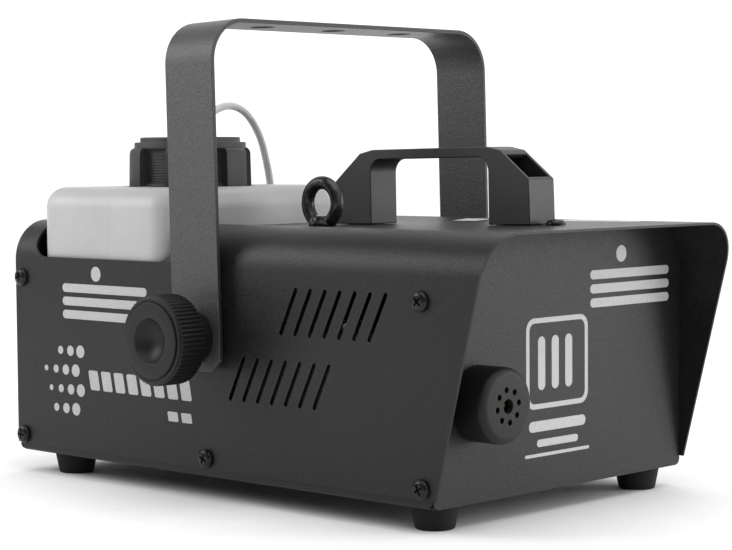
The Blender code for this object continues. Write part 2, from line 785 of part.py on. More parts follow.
def make_nozzle_tip():
    """Brass outlet tube from the heater's front face to just behind the shroud's face."""
    radius, bore = 0.0029, 0.0010
    length = HEATER_LOW[1] - GAP + 0.0150
    flange, thickness = 0.0060, 0.004
    profile = [
        (radius, length),
        (radius, thickness),
        (flange, thickness),
        (flange, 0),
        (bore, 0),
        (bore, length),
    ]
    start = at(NOZZLE_X, HEATER_LOW[1] - GAP, NOZZLE_Z)
    return turned("nozzle_tip", profile, start, (0, -1, 0), BRASS, steps=20)


PUMP_X, PUMP_Z = 0.0300, 0.0330
PUMP_FRONT, PUMP_REAR = 0.0700, 0.1300
PLUNGER_RADIUS = 0.0050
PLUNGER_TRAVEL = 0.0030


def make_pump():
    """Oscillating pump: a coil housing, a plunger in its bore and a rubber-mounted bracket under it."""
    low = (PUMP_X - 0.0170, PUMP_FRONT, PUMP_Z - 0.0150)
    high = (PUMP_X + 0.0170, PUMP_REAR - 0.0120, PUMP_Z + 0.0150)
    body = block("pump_body", low, high, BLACK_PLASTIC, bevel=0.002)
    ends = at(PUMP_X, PUMP_FRONT - 0.0160, PUMP_Z), at(PUMP_X, PUMP_REAR, PUMP_Z)
    join(body, rod("pump_barrel", *ends, 0.0085, hidden=True, segments=24))
    ends = at(PUMP_X, PUMP_FRONT, PUMP_Z), at(PUMP_X, PUMP_REAR + 0.01, PUMP_Z)
    cut(body, rod("pump_bore", *ends, PLUNGER_RADIUS + 0.0003, hidden=True, segments=24))
    profile = [
        (0, 0.0480),
        (PLUNGER_RADIUS - 0.001, 0.0480),
        (PLUNGER_RADIUS, 0.0470),
        (PLUNGER_RADIUS, 0),
        (0, 0),
    ]
    start = at(PUMP_X, PUMP_FRONT + PLUNGER_TRAVEL + 0.0010, PUMP_Z)
    turned("pump_plunger", profile, start, (0, 1, 0), STEEL, steps=20)
    base_low = (PUMP_X - 0.0230, PUMP_FRONT + 0.004, SHEET + GAP)
    base_high = (PUMP_X + 0.0230, PUMP_REAR - 0.016, 0.0040)
    bracket = block("pump_bracket", base_low, base_high, STEEL)
    rise_low = (PUMP_X - 0.0120, PUMP_FRONT + 0.010, 0.003)
    rise_high = (PUMP_X + 0.0120, PUMP_REAR - 0.022, low[2] - GAP)
    return join(bracket, block("pump_bracket_rise", rise_low, rise_high, hidden=True))


def make_inner_tubes():
    """Hose from the cover's grommet down to the pump, and the copper line from the pump to the heater."""
    x, y = TUBE_HOLE
    tray_hole = at(x + 0.022, BAY_FRONT + 0.0036, 0.085)
    hose = [
        at(x, y, 0.1080),
        at(x, y, 0.1020),
        at(x + 0.006, y - 0.010, 0.0940),
        at(x + 0.018, y - 0.030, 0.0880),
        tray_hole + Vector((0, 0.012, 0)),
        tray_hole + Vector((0, -0.012, 0)),
        at(x + 0.012, 0.1530, 0.0640),
        at(PUMP_X + 0.006, 0.1450, 0.0380),
        at(PUMP_X, 0.1380, PUMP_Z),
        at(PUMP_X, PUMP_REAR + 2 * GAP, PUMP_Z),
    ]
    wire("supply_tube", smooth_route(hose, 4), 0.0020, CLEAR_TUBE, 1)
    front = PUMP_FRONT - 0.0160 - 2 * GAP
    line = [
        at(PUMP_X, front, PUMP_Z),
        at(PUMP_X, front - 0.010, PUMP_Z),
        at(PUMP_X - 0.010, front - 0.022, PUMP_Z),
        at(PUMP_X - 0.034, front - 0.026, 0.0400),
        at(HEATER_HIGH[0] + 0.020, front - 0.020, 0.0470),
        at(HEATER_HIGH[0] + JACKET + 3 * GAP, front - 0.019, 0.0470),
    ]
    wire("outlet_tube", smooth_route(line, 4), 0.0016, STEEL, 1)


# ---------------------------------------------------------------- electrics


def make_electrics():
    low, high = (0.0050, 0.1960, 0.0080), (0.0880, 0.2800, 0.0096)
    block("control_board", low, high, BOARD)
    block("transformer", (0.0120, 0.2020, 0.0099), (0.0420, 0.2300, 0.0380), BLACK_PLASTIC, bevel=0.002)
    block("relay", (0.0520, 0.2040, 0.0099), (0.0680, 0.2240, 0.0260), BLACK_GLOSS, bevel=0.001)
    block("terminal_block", (0.0200, 0.2420, 0.0099), (0.0440, 0.2520, 0.0210), WHITE_PLASTIC, bevel=0.001)


def make_mains_inlet():
    """Appliance inlet: a flange on the rear panel, a recessed body behind it and three flat pins."""
    x, z, width, height = INLET
    face = CASE_LENGTH + 0.0023
    low = (x - width / 2 - 0.003, CASE_LENGTH + GAP, z - height / 2 - 0.003)
    high = (x + width / 2 + 0.003, face, z + height / 2 + 0.003)
    inlet = block("mains_inlet", low, high, BLACK_PLASTIC)
    low = (x - width / 2 + GAP, CASE_LENGTH - 0.0200, z - height / 2 + GAP)
    high = (x + width / 2 - GAP, CASE_LENGTH + 0.0010, z + height / 2 - GAP)
    join(inlet, block("inlet_body", low, high, hidden=True))
    low = (x - width / 2 + 0.0022, CASE_LENGTH - 0.0160, z - height / 2 + 0.0030)
    high = (x + width / 2 - 0.0022, CASE_LENGTH + 0.0100, z + height / 2 - 0.0030)
    cut(inlet, block("inlet_recess", low, high, hidden=True))
    for name, dx, dz in (("line", -0.0070, -0.0018), ("earth", 0.0, 0.0022), ("neutral", 0.0070, -0.0018)):
        low = (x + dx - 0.0010, CASE_LENGTH - 0.0180, z + dz - 0.0020)
        high = (x + dx + 0.0010, CASE_LENGTH - 0.0040, z + dz + 0.0020)
        join(inlet, block("inlet_pin_" + name, low, high, hidden=True))
    return inlet


ROCKER_TILT = math.radians(8)


def make_power_switch():
    """A bezel and body with a pocket, and a rocker that pivots across the pocket."""
    x, z, width, height = SWITCH
    face = CASE_LENGTH + 0.0022
    low = (x - width / 2 - 0.0012, CASE_LENGTH + GAP, z - height / 2 - 0.0012)
    high = (x + width / 2 + 0.0012, face, z + height / 2 + 0.0012)
    housing = block("switch_housing", low, high, BLACK_PLASTIC)
    low = (x - width / 2 + GAP, CASE_LENGTH - 0.0160, z - height / 2 + GAP)
    high = (x + width / 2 - GAP, CASE_LENGTH + 0.0010, z + height / 2 - GAP)
    join(housing, block("switch_body", low, high, hidden=True))
    inner = (width / 2 - 0.0016, height / 2 - 0.0014)
    low = (x - inner[0], CASE_LENGTH - 0.0060, z - inner[1])
    high = (x + inner[0], CASE_LENGTH + 0.0100, z + inner[1])
    cut(housing, block("switch_pocket", low, high, hidden=True))
    reach = inner[0] - 0.0007
    outline = corner_path(
        [
            (-reach, -0.0024, 0.0006),
            (reach, -0.0024, 0.0006),
            (reach, 0.0014, 0.0008),
            (0, 0.0004, 0),
            (-reach, 0.0014, 0.0008),
        ],
        3,
    )
    frame = Matrix.Translation(rocker_pivot()) @ Matrix.Rotation(-ROCKER_TILT, 4, "Z")
    depth = 2 * inner[1] - 0.0008
    plate("switch_rocker", outline, depth, frame, BLACK_GLOSS)
    return housing


def rocker_pivot():
    x, z = SWITCH[:2]
    return at(x, CASE_LENGTH + 0.0012, z)


def make_fuse_holder():
    """A bayonet fuse cap in its holder."""
    x, z = FUSE
    profile = [
        (0.0090, 0.0030),
        (0.0090, GAP),
        (FUSE_RADIUS, GAP),
        (FUSE_RADIUS, -0.0260),
        (0.0035, -0.0260),
        (0.0035, -0.0240),
        (0.0050, -0.0240),
        (0.0050, 0.0030),
    ]
    turned("fuse_holder", profile, at(x, CASE_LENGTH, z), (0, 1, 0), BLACK_PLASTIC, steps=24)
    reach = REAR_REACH
    profile = [
        (0, reach),
        (0.0060, reach),
        (0.0070, reach - 0.0010),
        (0.0070, 0.0034),
        (0.0046, 0.0034),
        (0.0046, -0.0180),
        (0, -0.0180),
    ]
    cap = turned("fuse_cap", profile, at(x, CASE_LENGTH, z), (0, 1, 0), BLACK_GLOSS, steps=24)
    low = (x - 0.0009, CASE_LENGTH + reach - 0.0015, z - 0.0050)
    high = (x + 0.0009, CASE_LENGTH + reach + 0.001, z + 0.0050)
    cut(cap, block("fuse_slot", low, high, hidden=True))


def make_remote_socket():
    """Round socket for the wired remote."""
    x, z = REMOTE
    profile = [
        (0.0100, 0.0024),
        (0.0100, GAP),
        (REMOTE_RADIUS, GAP),
        (REMOTE_RADIUS, -0.0120),
        (0.0058, -0.0120),
        (0.0058, 0.0024),
    ]
    socket = turned("remote_socket", profile, at(x, CASE_LENGTH, z), (0, 1, 0), BLACK_PLASTIC, steps=24)
    ends = at(x, CASE_LENGTH - 0.0120, z), at(x, CASE_LENGTH - 0.0100, z)
    return join(socket, rod("remote_back", *ends, REMOTE_RADIUS - 0.0002, hidden=True))


# ---------------------------------------------------------------- tank, cap and tubes


def make_tank():
    """Blow-moulded tank, hollow, with an open neck that stands in a shallow round recess for the cap."""
    tank = block("tank", TANK_LOW, TANK_HIGH, TANK_PLASTIC, bevel=TANK_ROUND, segments=5)
    top = TANK_HIGH[2]
    ends = at(TANK_X, TANK_Y, top - 0.004), at(TANK_X, TANK_Y, top + 0.012)
    join(tank, rod("tank_neck", *ends, 0.0242, hidden=True, segments=28))
    low = [a + TANK_WALL for a in TANK_LOW]
    high = [b - TANK_WALL for b in TANK_HIGH]
    cut(tank, block("tank_hollow", low, high, hidden=True, bevel=TANK_ROUND - TANK_WALL, segments=5))
    ends = at(TANK_X, TANK_Y, top - 0.02), at(TANK_X, TANK_Y, top + 0.03)
    cut(tank, rod("neck_bore", *ends, 0.0225, hidden=True, segments=28))
    seat = top - CAP_SEAT
    profile = [(0.0375, 0.01), (0.0368, 0), (0.0242, 0), (0.0242, 0.01)]
    start = at(TANK_X, TANK_Y, seat)
    return cut(tank, turned("cap_seat", profile, start, (0, 0, 1), hidden=True, steps=28))


def ring_sector(name, profile, start, from_angle, sweep, steps=5):
    """A cutter: a closed (radius, height) outline swept part of the way round the vertical at start."""
    bm = bmesh.new()
    face = bm.faces.new([bm.verts.new((radius, 0, height)) for radius, height in profile])
    bmesh.ops.spin(bm, geom=[face], axis=(0, 0, 1), angle=sweep, steps=steps)
    made = add(name, mesh_of(bm, name), None, hidden=True)
    made.location = start
    made.rotation_euler.z = from_angle
    return made


def make_tank_cap():
    """Screw cap with broad lobes, a stepped collar, a skirt round the neck and a bore for the tube."""
    start = at(TANK_X, TANK_Y, TANK_HIGH[2] - CAP_SEAT + GAP)
    lobe_top, shoulder, rim = 0.0219, 0.0248, 0.0275
    foot, root, waist, collar = 0.0303, 0.0281, 0.0308, 0.0276
    profile = [
        (collar - 0.0024, rim),
        (collar, rim),
        (collar, shoulder),
        (waist - 0.0004, shoulder),
        (waist, shoulder - 0.0004),
        (waist, lobe_top),
        (CAP_RADIUS - 0.0026, lobe_top),
        (CAP_RADIUS - 0.0006, lobe_top - 0.0030),
        (CAP_RADIUS, 0),
        (0.0252, 0),
        (0.0252, 0.0150),
        (0.0032, 0.0150),
        (0.0032, 0.0175),
        (collar - 0.0024, 0.0175),
    ]
    cap = turned("tank_cap", profile, start, (0, 0, 1), BLACK_PLASTIC, steps=36)
    outer = CAP_RADIUS + 0.004
    profile = [
        (foot, -0.001),
        (foot, 0.0014),
        (root, 0.0026),
        (root, 0.0180),
        (waist, lobe_top - 0.0005),
        (outer, lobe_top - 0.0005),
        (outer, -0.001),
    ]
    gap = math.radians(31)
    for k in range(CAP_LOBES):
        middle = math.radians(9.2 + 360 / CAP_LOBES * k)
        cut(cap, ring_sector(f"lobe_gap_{k}", profile, start, middle - gap / 2, gap))
    return cap


TUBE_RADIUS = 0.0022


def arch_points():
    """The intake tube's free arch, from inside the cap over to the grommet on the cover."""
    x, y = TUBE_HOLE
    low = TANK_HIGH[2] - CAP_SEAT + GAP + 0.0120
    across = (
        (0.0000, low),
        (0.0040, 0.1665),
        (0.0900, 0.1790),
        (0.2800, 0.1878),
        (0.4750, 0.1910),
        (0.6700, 0.1868),
        (0.8350, 0.1740),
        (0.9350, 0.1555),
        (0.9800, 0.1400),
    )
    route = [at(TANK_X + (x - TANK_X) * share, TANK_Y + (y - TANK_Y) * share, z) for share, z in across]
    return [*route, at(x, y, CASE_HEIGHT + 0.0020), at(x, y, CASE_HEIGHT - 0.0190)]


def make_tank_tubes():
    wire("intake_tube", smooth_route(arch_points(), 3), TUBE_RADIUS, CLEAR_TUBE)
    low = TANK_LOW[2] + TANK_WALL + 0.020
    dip = [
        at(TANK_X, TANK_Y, TANK_HIGH[2] - CAP_SEAT + 0.0120 - GAP),
        at(TANK_X, TANK_Y, TANK_HIGH[2] - 0.010),
        at(TANK_X + 0.004, TANK_Y + 0.004, TANK_HIGH[2] - 0.040),
        at(TANK_X + 0.006, TANK_Y + 0.006, low),
    ]
    wire("pickup_tube", smooth_route(dip, 4), TUBE_RADIUS, CLEAR_TUBE, 1)
    profile = [
        (0, 0.0160),
        (0.0040, 0.0160),
        (0.0060, 0.0140),
        (0.0060, 0.0010),
        (0.0050, 0),
        (0, 0),
    ]
    start = at(TANK_X + 0.006, TANK_Y + 0.006, low - GAP - 0.0162)
    turned("pickup_filter", profile, start, (0, 0, 1), STEEL, steps=18)


def make_grommet():
    x, y = TUBE_HOLE
    hole = TUBE_RADIUS + GAP
    seat = at(x, y, CASE_HEIGHT - sag(x + 0.0072, y + 0.0072))
    profile = [
        (hole + 0.0006, 0.0030),
        (0.0058, 0.0026),
        (0.0072, 0.0012),
        (0.0072, GAP),
        (0.0049, GAP),
        (0.0049, -0.0030),
        (hole, -0.0030),
        (hole, 0.0024),
    ]
    turned("tube_grommet", profile, seat, (0, 0, 1), RUBBER, steps=20)


# ---------------------------------------------------------------- yoke and knobs


def yoke_profile():
    """(x, z) of the yoke's outer face: up the left leg, over the crossbar and down the right leg."""
    steps = 8
    left = [(-YOKE_HALF_WIDTH, YOKE_FOOT)]
    for k in range(steps + 1):
        angle = math.pi / 2 * k / steps
        x = -YOKE_HALF_WIDTH + YOKE_BEND * (1 - math.cos(angle))
        left.append((x, YOKE_TOP - YOKE_BEND * (1 - math.sin(angle))))
    return left + [(-x, z) for x, z in reversed(left)]


def make_yoke():
    """Bent steel strip, built upright about the pivot and then leaned back."""
    bm = bmesh.new()
    pivot = at(0, PIVOT_Y, PIVOT_Z)
    verts = [
        bm.verts.new(at(x, PIVOT_Y - YOKE_WIDTH / 2, z) - pivot) for x, z in yoke_profile()
    ]
    edges = [bm.edges.new(pair) for pair in zip(verts, verts[1:])]
    made = bmesh.ops.extrude_edge_only(bm, edges=edges)["geom"]
    moved = [item for item in made if isinstance(item, bmesh.types.BMVert)]
    bmesh.ops.translate(bm, vec=(0, YOKE_WIDTH, 0), verts=moved)
    bmesh.ops.recalc_face_normals(bm, faces=bm.faces)
    top = max(bm.faces, key=lambda face: face.calc_center_median().z)
    if top.normal.z < 0:
        bmesh.ops.reverse_faces(bm, faces=bm.faces)
    mesh = bpy.data.meshes.new("yoke")
    bm.to_mesh(mesh)
    bm.free()
    yoke = add("yoke", mesh, YOKE_PAINT)
    yoke.location = pivot
    yoke.rotation_euler.x = -YOKE_LEAN
    strip = yoke.modifiers.new("strip", "SOLIDIFY")
    strip.thickness = YOKE_STRIP
    strip.offset = -1
    strip.use_even_offset = True
    lean = yoke_lean()
    for k, x in enumerate((-0.052, 0.0, 0.052)):
        ends = lean @ at(x, PIVOT_Y, YOKE_TOP - 0.02), lean @ at(x, PIVOT_Y, YOKE_TOP + 0.02)
        cut(yoke, rod(f"clamp_hole_{k}", *ends, 0.0065, hidden=True, segments=20))
    ends = at(-0.13, PIVOT_Y, PIVOT_Z), at(0.13, PIVOT_Y, PIVOT_Z)
    cut(yoke, rod("yoke_pivot_hole", *ends, 0.0042, hidden=True, segments=20))
    for name, edge in (("front", -1), ("rear", 1)):
        corner = lean @ at(0, PIVOT_Y + edge * YOKE_WIDTH / 2, YOKE_FOOT)
        size = 0.009
        corner_cutter = block(f"yoke_corner_{name}", (0, 0, 0), (0.24, size, size), hidden=True)
        turn = Matrix.Rotation(-YOKE_LEAN, 4, "X") @ Matrix.Rotation(math.radians(45), 4, "X")
        corner_cutter.matrix_world = Matrix.Translation(corner) @ turn
        cut(yoke, corner_cutter)
    return smooth(yoke)


def yoke_lean():
    pivot = at(0, PIVOT_Y, PIVOT_Z)
    return Matrix.Translation(pivot) @ Matrix.Rotation(-YOKE_LEAN, 4, "X") @ Matrix.Translation(-pivot)


def make_pivots():
    """On each side: a stud through the wall, a spacer between wall and yoke, and a clamp knob outside."""
    for name, side in SIDES:
        wall = HALF + GAP
        leg_inner = YOKE_HALF_WIDTH - YOKE_STRIP - GAP
        leg_outer = YOKE_HALF_WIDTH + GAP
        outward = (side, 0, 0)
        here = at(0, PIVOT_Y, PIVOT_Z)
        stud_end = 0.1215
        profile = [
            (0, stud_end),
            (0.0034, stud_end),
            (0.0038, stud_end - 0.0006),
            (0.0038, HALF - SHEET - GAP),
            (0.0075, HALF - SHEET - GAP),
            (0.0075, HALF - SHEET - GAP - 0.0040),
            (0, HALF - SHEET - GAP - 0.0040),
        ]
        turned("yoke_stud_" + name, profile, here, outward, STEEL, steps=20)
        profile = [
            (0.0120, leg_inner),
            (0.0125, leg_inner - 0.0004),
            (0.0125, wall + 0.0004),
            (0.0120, wall),
            (0.0042, wall),
            (0.0042, leg_inner),
        ]
        turned("spacer_" + name, profile, here, outward, RUBBER, steps=20)
        disc, rim, step = 0.0190, 0.0214, 0.0016
        profile = [
            (0, KNOB_FACE - 0.0040),
            (0.0088, KNOB_FACE - 0.0030),
            (0.0105, KNOB_FACE - 0.0010),
            (0.0112, KNOB_FACE),
            (disc - 0.0003, KNOB_FACE),
            (disc, KNOB_FACE - 0.0003),
            (disc, KNOB_FACE - step - 0.0006),
            (disc + 0.0010, KNOB_FACE - step - 0.0006),
            (disc + 0.0012, KNOB_FACE - step),
            (rim, KNOB_FACE - step),
            (rim, KNOB_FACE - step - 0.0008),
            (KNOB_RADIUS, KNOB_FACE - step - 0.0016),
            (KNOB_RADIUS, KNOB_BACK + 0.0012),
            (KNOB_RADIUS - 0.0012, KNOB_BACK),
            (0.0145, KNOB_BACK),
            (0.0135, leg_outer + 0.0010),
            (0.0130, leg_outer),
            (0.0042, leg_outer),
            (0.0042, stud_end + 0.0030),
            (0, stud_end + 0.0030),
        ]
        turned("knob_" + name, profile, here, outward, BLACK_PLASTIC, steps=24)


make_cover()
make_base_pan()
make_front_panel()
make_rear_panel()
make_tank_tray()
make_feet()
make_cover_screws()
make_handle()
make_handle_screws()
make_eyebolt()
make_eyebolt_nut()
make_nozzle_shroud()
make_nozzle_tip()
make_heater()
make_pump()
make_inner_tubes()
make_electrics()
make_mains_inlet()
make_power_switch()
make_fuse_holder()
make_remote_socket()
make_tank()
make_tank_cap()
make_tank_tubes()
make_grommet()
make_yoke()
make_pivots()
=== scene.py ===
"""The fog machine's looks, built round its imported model.

Metres, +Z up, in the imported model's own frame. The nozzle faces -Y, the tank is at +Y, and "left" is -X.
Shapes are placed by case coordinates: x across, y back from the front panel's face, z above the base pan's
underside. at() turns them into world points.
"""

import json
import math

import bmesh
import bpy
from mathutils import Matrix, Vector


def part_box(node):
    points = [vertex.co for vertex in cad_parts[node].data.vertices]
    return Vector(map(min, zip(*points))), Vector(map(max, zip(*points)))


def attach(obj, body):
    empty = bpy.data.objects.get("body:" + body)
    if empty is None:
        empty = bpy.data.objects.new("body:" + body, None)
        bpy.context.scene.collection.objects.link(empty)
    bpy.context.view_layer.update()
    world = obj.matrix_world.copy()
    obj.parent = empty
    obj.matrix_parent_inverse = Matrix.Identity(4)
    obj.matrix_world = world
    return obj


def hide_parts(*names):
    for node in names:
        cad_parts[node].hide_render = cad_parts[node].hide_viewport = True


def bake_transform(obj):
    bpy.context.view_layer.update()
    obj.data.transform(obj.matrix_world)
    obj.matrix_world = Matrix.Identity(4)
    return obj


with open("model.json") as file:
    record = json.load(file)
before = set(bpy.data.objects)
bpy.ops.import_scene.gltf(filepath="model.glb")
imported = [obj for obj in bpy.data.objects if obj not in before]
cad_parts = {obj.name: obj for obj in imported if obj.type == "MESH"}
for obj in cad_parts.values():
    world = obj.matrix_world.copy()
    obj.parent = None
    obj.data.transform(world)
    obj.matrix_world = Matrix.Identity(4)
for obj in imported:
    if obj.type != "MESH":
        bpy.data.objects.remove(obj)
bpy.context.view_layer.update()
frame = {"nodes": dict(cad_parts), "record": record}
NODES = frame["nodes"]

# ---- sizes

COVER_LOW, COVER_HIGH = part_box("cover")
FRONT_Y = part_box("front_panel")[0].y
PAN_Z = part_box("base_pan")[0].z
HALF = COVER_HIGH.x
CASE_LENGTH = COVER_HIGH.y - FRONT_Y
CASE_HEIGHT = COVER_HIGH.z - PAN_Z
COVER_SKIRT = COVER_LOW.z - PAN_Z
SHEET = 0.0012
GAP = 0.0003
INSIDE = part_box("base_pan")[1].x
COVER_BEND = 0.0216
HOOD_REACH = FRONT_Y - COVER_LOW.y
HOOD_REACH_LOW = 0.0019
TOP_SAG = 0.0019
SAG_FLAT = 0.053
SAG_RISE, SAG_END = 0.186, 0.288
LIP_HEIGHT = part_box("base_pan")[1].z - PAN_Z

BAY_FRONT, BAY_REAR = 0.180, 0.294
BAY_SIDE_HEIGHT = 0.1084
BAY_FAR_X = 0.0425
SLOT_WIDTH = 0.0024
SLOT_PITCH = 0.0099
SLOTS_IN_ROW = 7

SCREW_HEAD_HEIGHT = 0.0027

HANDLE_FRONT, HANDLE_REAR = 0.0137, 0.1470
HANDLE_WIDTH = 0.020
HANDLE_HEIGHT = 0.0388
HANDLE_WALL = 0.002

PIVOT_Y, PIVOT_Z = 0.1531, 0.0721
YOKE_HALF_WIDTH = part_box("yoke")[1].x
YOKE_STRIP = 0.0022
YOKE_WIDTH = 0.035
YOKE_TOP = 0.2313
YOKE_FOOT = 0.0548
YOKE_BEND = 0.022
YOKE_LEAN = math.radians(1.48)

TANK_ROUND = 0.011
TANK_WALL = 0.0018
SEAM_SHIFT = -0.0070
TUBE_RADIUS = 0.0022
TUBE_HOLE = (0.0500, 0.2570)
SIDES = (("left", -1), ("right", 1))
UP, FORWARD = (0, 0, 1), (0, -1, 0)


def at(x, y, z):
    """World point of a case point."""
    return Vector((x, FRONT_Y + y, PAN_Z + z))


def case_box(node):
    """Lowest and highest corner of a CAD node, in case coordinates."""
    low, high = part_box(node)
    shift = at(0, 0, 0)
    return low - shift, high - shift


def middle(node):
    """x, y and z of the middle of a CAD node, in case coordinates."""
    return [(a + b) / 2 for a, b in zip(*case_box(node))]


CAP_LOW, CAP_HIGH = case_box("tank_cap")
TANK_X, TANK_Y = middle("tank_cap")[:2]
CAP_BASE, CAP_RADIUS = CAP_LOW.z, (CAP_HIGH.x - CAP_LOW.x) / 2
TANK_LOW, TANK_HIGH = case_box("tank")
TANK_TOP = 0.1462


# ---- camera


def make_camera():
    """Looks at the left side and the front, a little down, through a long lens."""
    yaw, pitch, roll = 0.8081, math.radians(3.369), math.radians(-0.413)
    forward = Vector((math.sin(yaw) * math.cos(pitch), math.cos(yaw) * math.cos(pitch), -math.sin(pitch)))
    level = Vector((math.cos(yaw), -math.sin(yaw), 0))
    upright = level.cross(forward)
    right = math.cos(roll) * level + math.sin(roll) * upright
    up = math.cos(roll) * upright - math.sin(roll) * level
    data = bpy.data.cameras.new("camera")
    data.lens = 103.15
    data.sensor_width = 36
    data.clip_start, data.clip_end = 0.05, 50
    camera = add("camera", data)
    turn = Matrix((right, up, -forward)).transposed().to_4x4()
    camera.matrix_world = Matrix.Translation((-0.80445, -0.77727, 0.1762)) @ turn
    bpy.context.scene.camera = camera


# ---- materials


def finish(name, colour, **settings):
    """A Principled material. The settings are its sockets, with _ for each space."""
    material = bpy.data.materials.new(name)
    material.use_nodes = True
    shader = material.node_tree.nodes["Principled BSDF"]
    shader.inputs["Base Color"].default_value = (*colour, 1)
    for socket, value in settings.items():
        shader.inputs[socket.replace("_", " ")].default_value = value
    return material


def step(material, kind, **inputs):
    """A new node with its unlinked inputs set. A value that is a socket is linked instead."""
    made = material.node_tree.nodes.new("ShaderNode" + kind)
    for key, value in inputs.items():
        socket = made.inputs[int(key[1:])] if key[0] == "i" and key[1:].isdigit() else made.inputs[key]
        if isinstance(value, bpy.types.NodeSocket):
            material.node_tree.links.new(value, socket)
        else:
            socket.default_value = value
    return made


def drive(material, socket, value):
    """Links an output to one of the shader's own sockets."""
    shader = material.node_tree.nodes["Principled BSDF"]
    material.node_tree.links.new(value, shader.inputs[socket])


def noise(material, size, detail=2.0, roughness=0.5, stretch=(1, 1, 1)):
    """Noise from 0 to 1 in the object's own space, with features of about the given size in metres."""
    source = step(material, "TexCoord").outputs["Object"]
    vector = step(material, "Mapping", Vector=source, Scale=stretch).outputs[0]
    made = step(material, "TexNoise", Vector=vector, Scale=1 / size, Detail=detail, Roughness=roughness)
    return made.outputs["Fac"]


def spread(material, source, low, high, start=0.3, end=0.7):
    """Maps a source between start and end to numbers between low and high."""
    names = ("From Min", "From Max", "To Min", "To Max")
    inputs = dict(zip(names, (start, end, low, high)))
    return step(material, "MapRange", Value=source, **inputs).outputs[0]


def tint(material, source, colour, dark, light, start=0.3, end=0.7):
    """The colour times a factor between dark and light, by the source between start and end."""
    made = step(material, "ValToRGB", Fac=source)
    for stop, (place, factor) in zip(made.color_ramp.elements, ((start, dark), (end, light))):
        stop.position = place
        stop.color = (*scaled(colour, factor), 1)
    return made.outputs[0]


def mix(material, share, first, second):
    """first and second mixed as colours."""
    made = material.node_tree.nodes.new("ShaderNodeMix")
    made.data_type = "RGBA"
    sockets = (made.inputs[0], made.inputs[6], made.inputs[7])
    for socket, value in zip(sockets, (share, first, second)):
        if isinstance(value, bpy.types.NodeSocket):
            material.node_tree.links.new(value, socket)
        else:
            socket.default_value = value if isinstance(value, (int, float)) else (*value, 1)
    return made.outputs[2]


def relief(material, height, depth, under=None, strength=1.0):
    """Bump of the given depth in metres, over another bump."""
    inputs = {"Height": height, "Distance": depth, "Strength": strength}
    if under:
        inputs["Normal"] = under
    return step(material, "Bump", **inputs).outputs[0]


def dot(material, first, second):
    """The dot product of two vectors."""
    made = step(material, "VectorMath", i0=first, i1=second)
    made.operation = "DOT_PRODUCT"
    return made.outputs["Value"]


def edges(material, radius, start=0.03, end=0.3):
    """1 along sharp edges, 0 away from them."""
    rounded = step(material, "Bevel", Radius=radius).outputs[0]
    flat = step(material, "NewGeometry").outputs["Normal"]
    return spread(material, dot(material, rounded, flat), 1.0, 0.0, 1 - end, 1 - start)


def grey(value):
    return (value, value, value)


def scaled(colour, factor):
    return tuple(min(1.0, channel * factor) for channel in colour)


def powder_coat(name, colour, wear_and_glint, depth, shine=0.45):
    """Fine-speckled powder coat: a pebbled skin, slightly uneven tone, and paler edges, part rubbed wear
    and part painted highlight.
    """
    made = finish(name, colour, Metallic=0.0, Roughness=0.5, Specular_IOR_Level=shine)
    speckle = noise(made, 0.0011, 3.0, 0.7)
    pebble = noise(made, 0.0024, 1.0)
    cloud = noise(made, 0.06, 3.0)
    base = tint(made, speckle, colour, 0.58, 1.58, 0.36, 0.66)
    uneven = tint(made, cloud, colour, 0.86, 1.12, 0.35, 0.65)
    toned = mix(made, 0.25, base, uneven)
    # Edges go towards the paler colour: part rubbed wear, part painted highlight along the edges.
    wear_and_glint_mask = step(made, "Math", i0=edges(made, 0.0006), i1=spread(made, cloud, 0.1, 0.8))
    wear_and_glint_mask.operation = "MULTIPLY"
    drive(made, "Base Color", mix(made, wear_and_glint_mask.outputs[0], toned, wear_and_glint))
    drive(made, "Roughness", spread(made, speckle, 0.32, 0.48))
    drive(made, "Normal", relief(made, speckle, depth, relief(made, pebble, 0.25 * depth)))
    return made


def moulded(name, colour, rough, grain=0.0006, depth=0.00004, wear_and_glint=None, shine=0.5):
    """Moulded plastic or rubber: a fine grain, faint flow marks, and paler edges, part wear and part
    painted highlight.
    """
    made = finish(name, colour, Roughness=rough, Specular_IOR_Level=shine)
    skin = noise(made, grain, 2.0, 0.6)
    flow = noise(made, 0.03, 3.0, 0.5, (1, 1, 0.4))
    base = tint(made, flow, colour, 0.85, 1.15, 0.35, 0.65)
    fine = tint(made, skin, colour, 0.88, 1.15)
    toned = mix(made, 0.5, base, fine)
    # Paler edges: part wear, part painted highlight along the edges.
    if wear_and_glint:
        toned = mix(made, edges(made, 0.0005, 0.05, 0.5), toned, wear_and_glint)
    drive(made, "Base Color", toned)
    drive(made, "Roughness", spread(made, skin, rough - 0.06, rough + 0.08))
    drive(made, "Normal", relief(made, skin, depth))
    return made


def metal(name, colour, rough, stretch=(1, 1, 1), size=0.0008, depth=0.00002):
    """Bare or plated metal, brushed along the axis that is stretched least."""
    made = finish(name, colour, Metallic=1.0, Roughness=rough)
    grain = noise(made, size, 3.0, 0.6, stretch)
    stain = noise(made, 0.02, 3.0)
    base = tint(made, stain, colour, 0.86, 1.06)
    fine = tint(made, grain, colour, 0.9, 1.05)
    drive(made, "Base Color", mix(made, 0.5, base, fine))
    drive(made, "Roughness", spread(made, grain, rough - 0.08, rough + 0.14))
    drive(made, "Normal", relief(made, grain, depth))
    return made


def blackened(name, colour, metallic, shine):
    """Glossy blackened steel, a little uneven."""
    made = finish(name, colour, Metallic=metallic, Roughness=0.28, Specular_IOR_Level=shine)
    grain = noise(made, 0.0022, 3.0)
    drive(made, "Base Color", tint(made, grain, colour, 0.75, 1.8))
    drive(made, "Roughness", spread(made, grain, 0.20, 0.38))
    drive(made, "Normal", relief(made, grain, 0.00007))
    return made


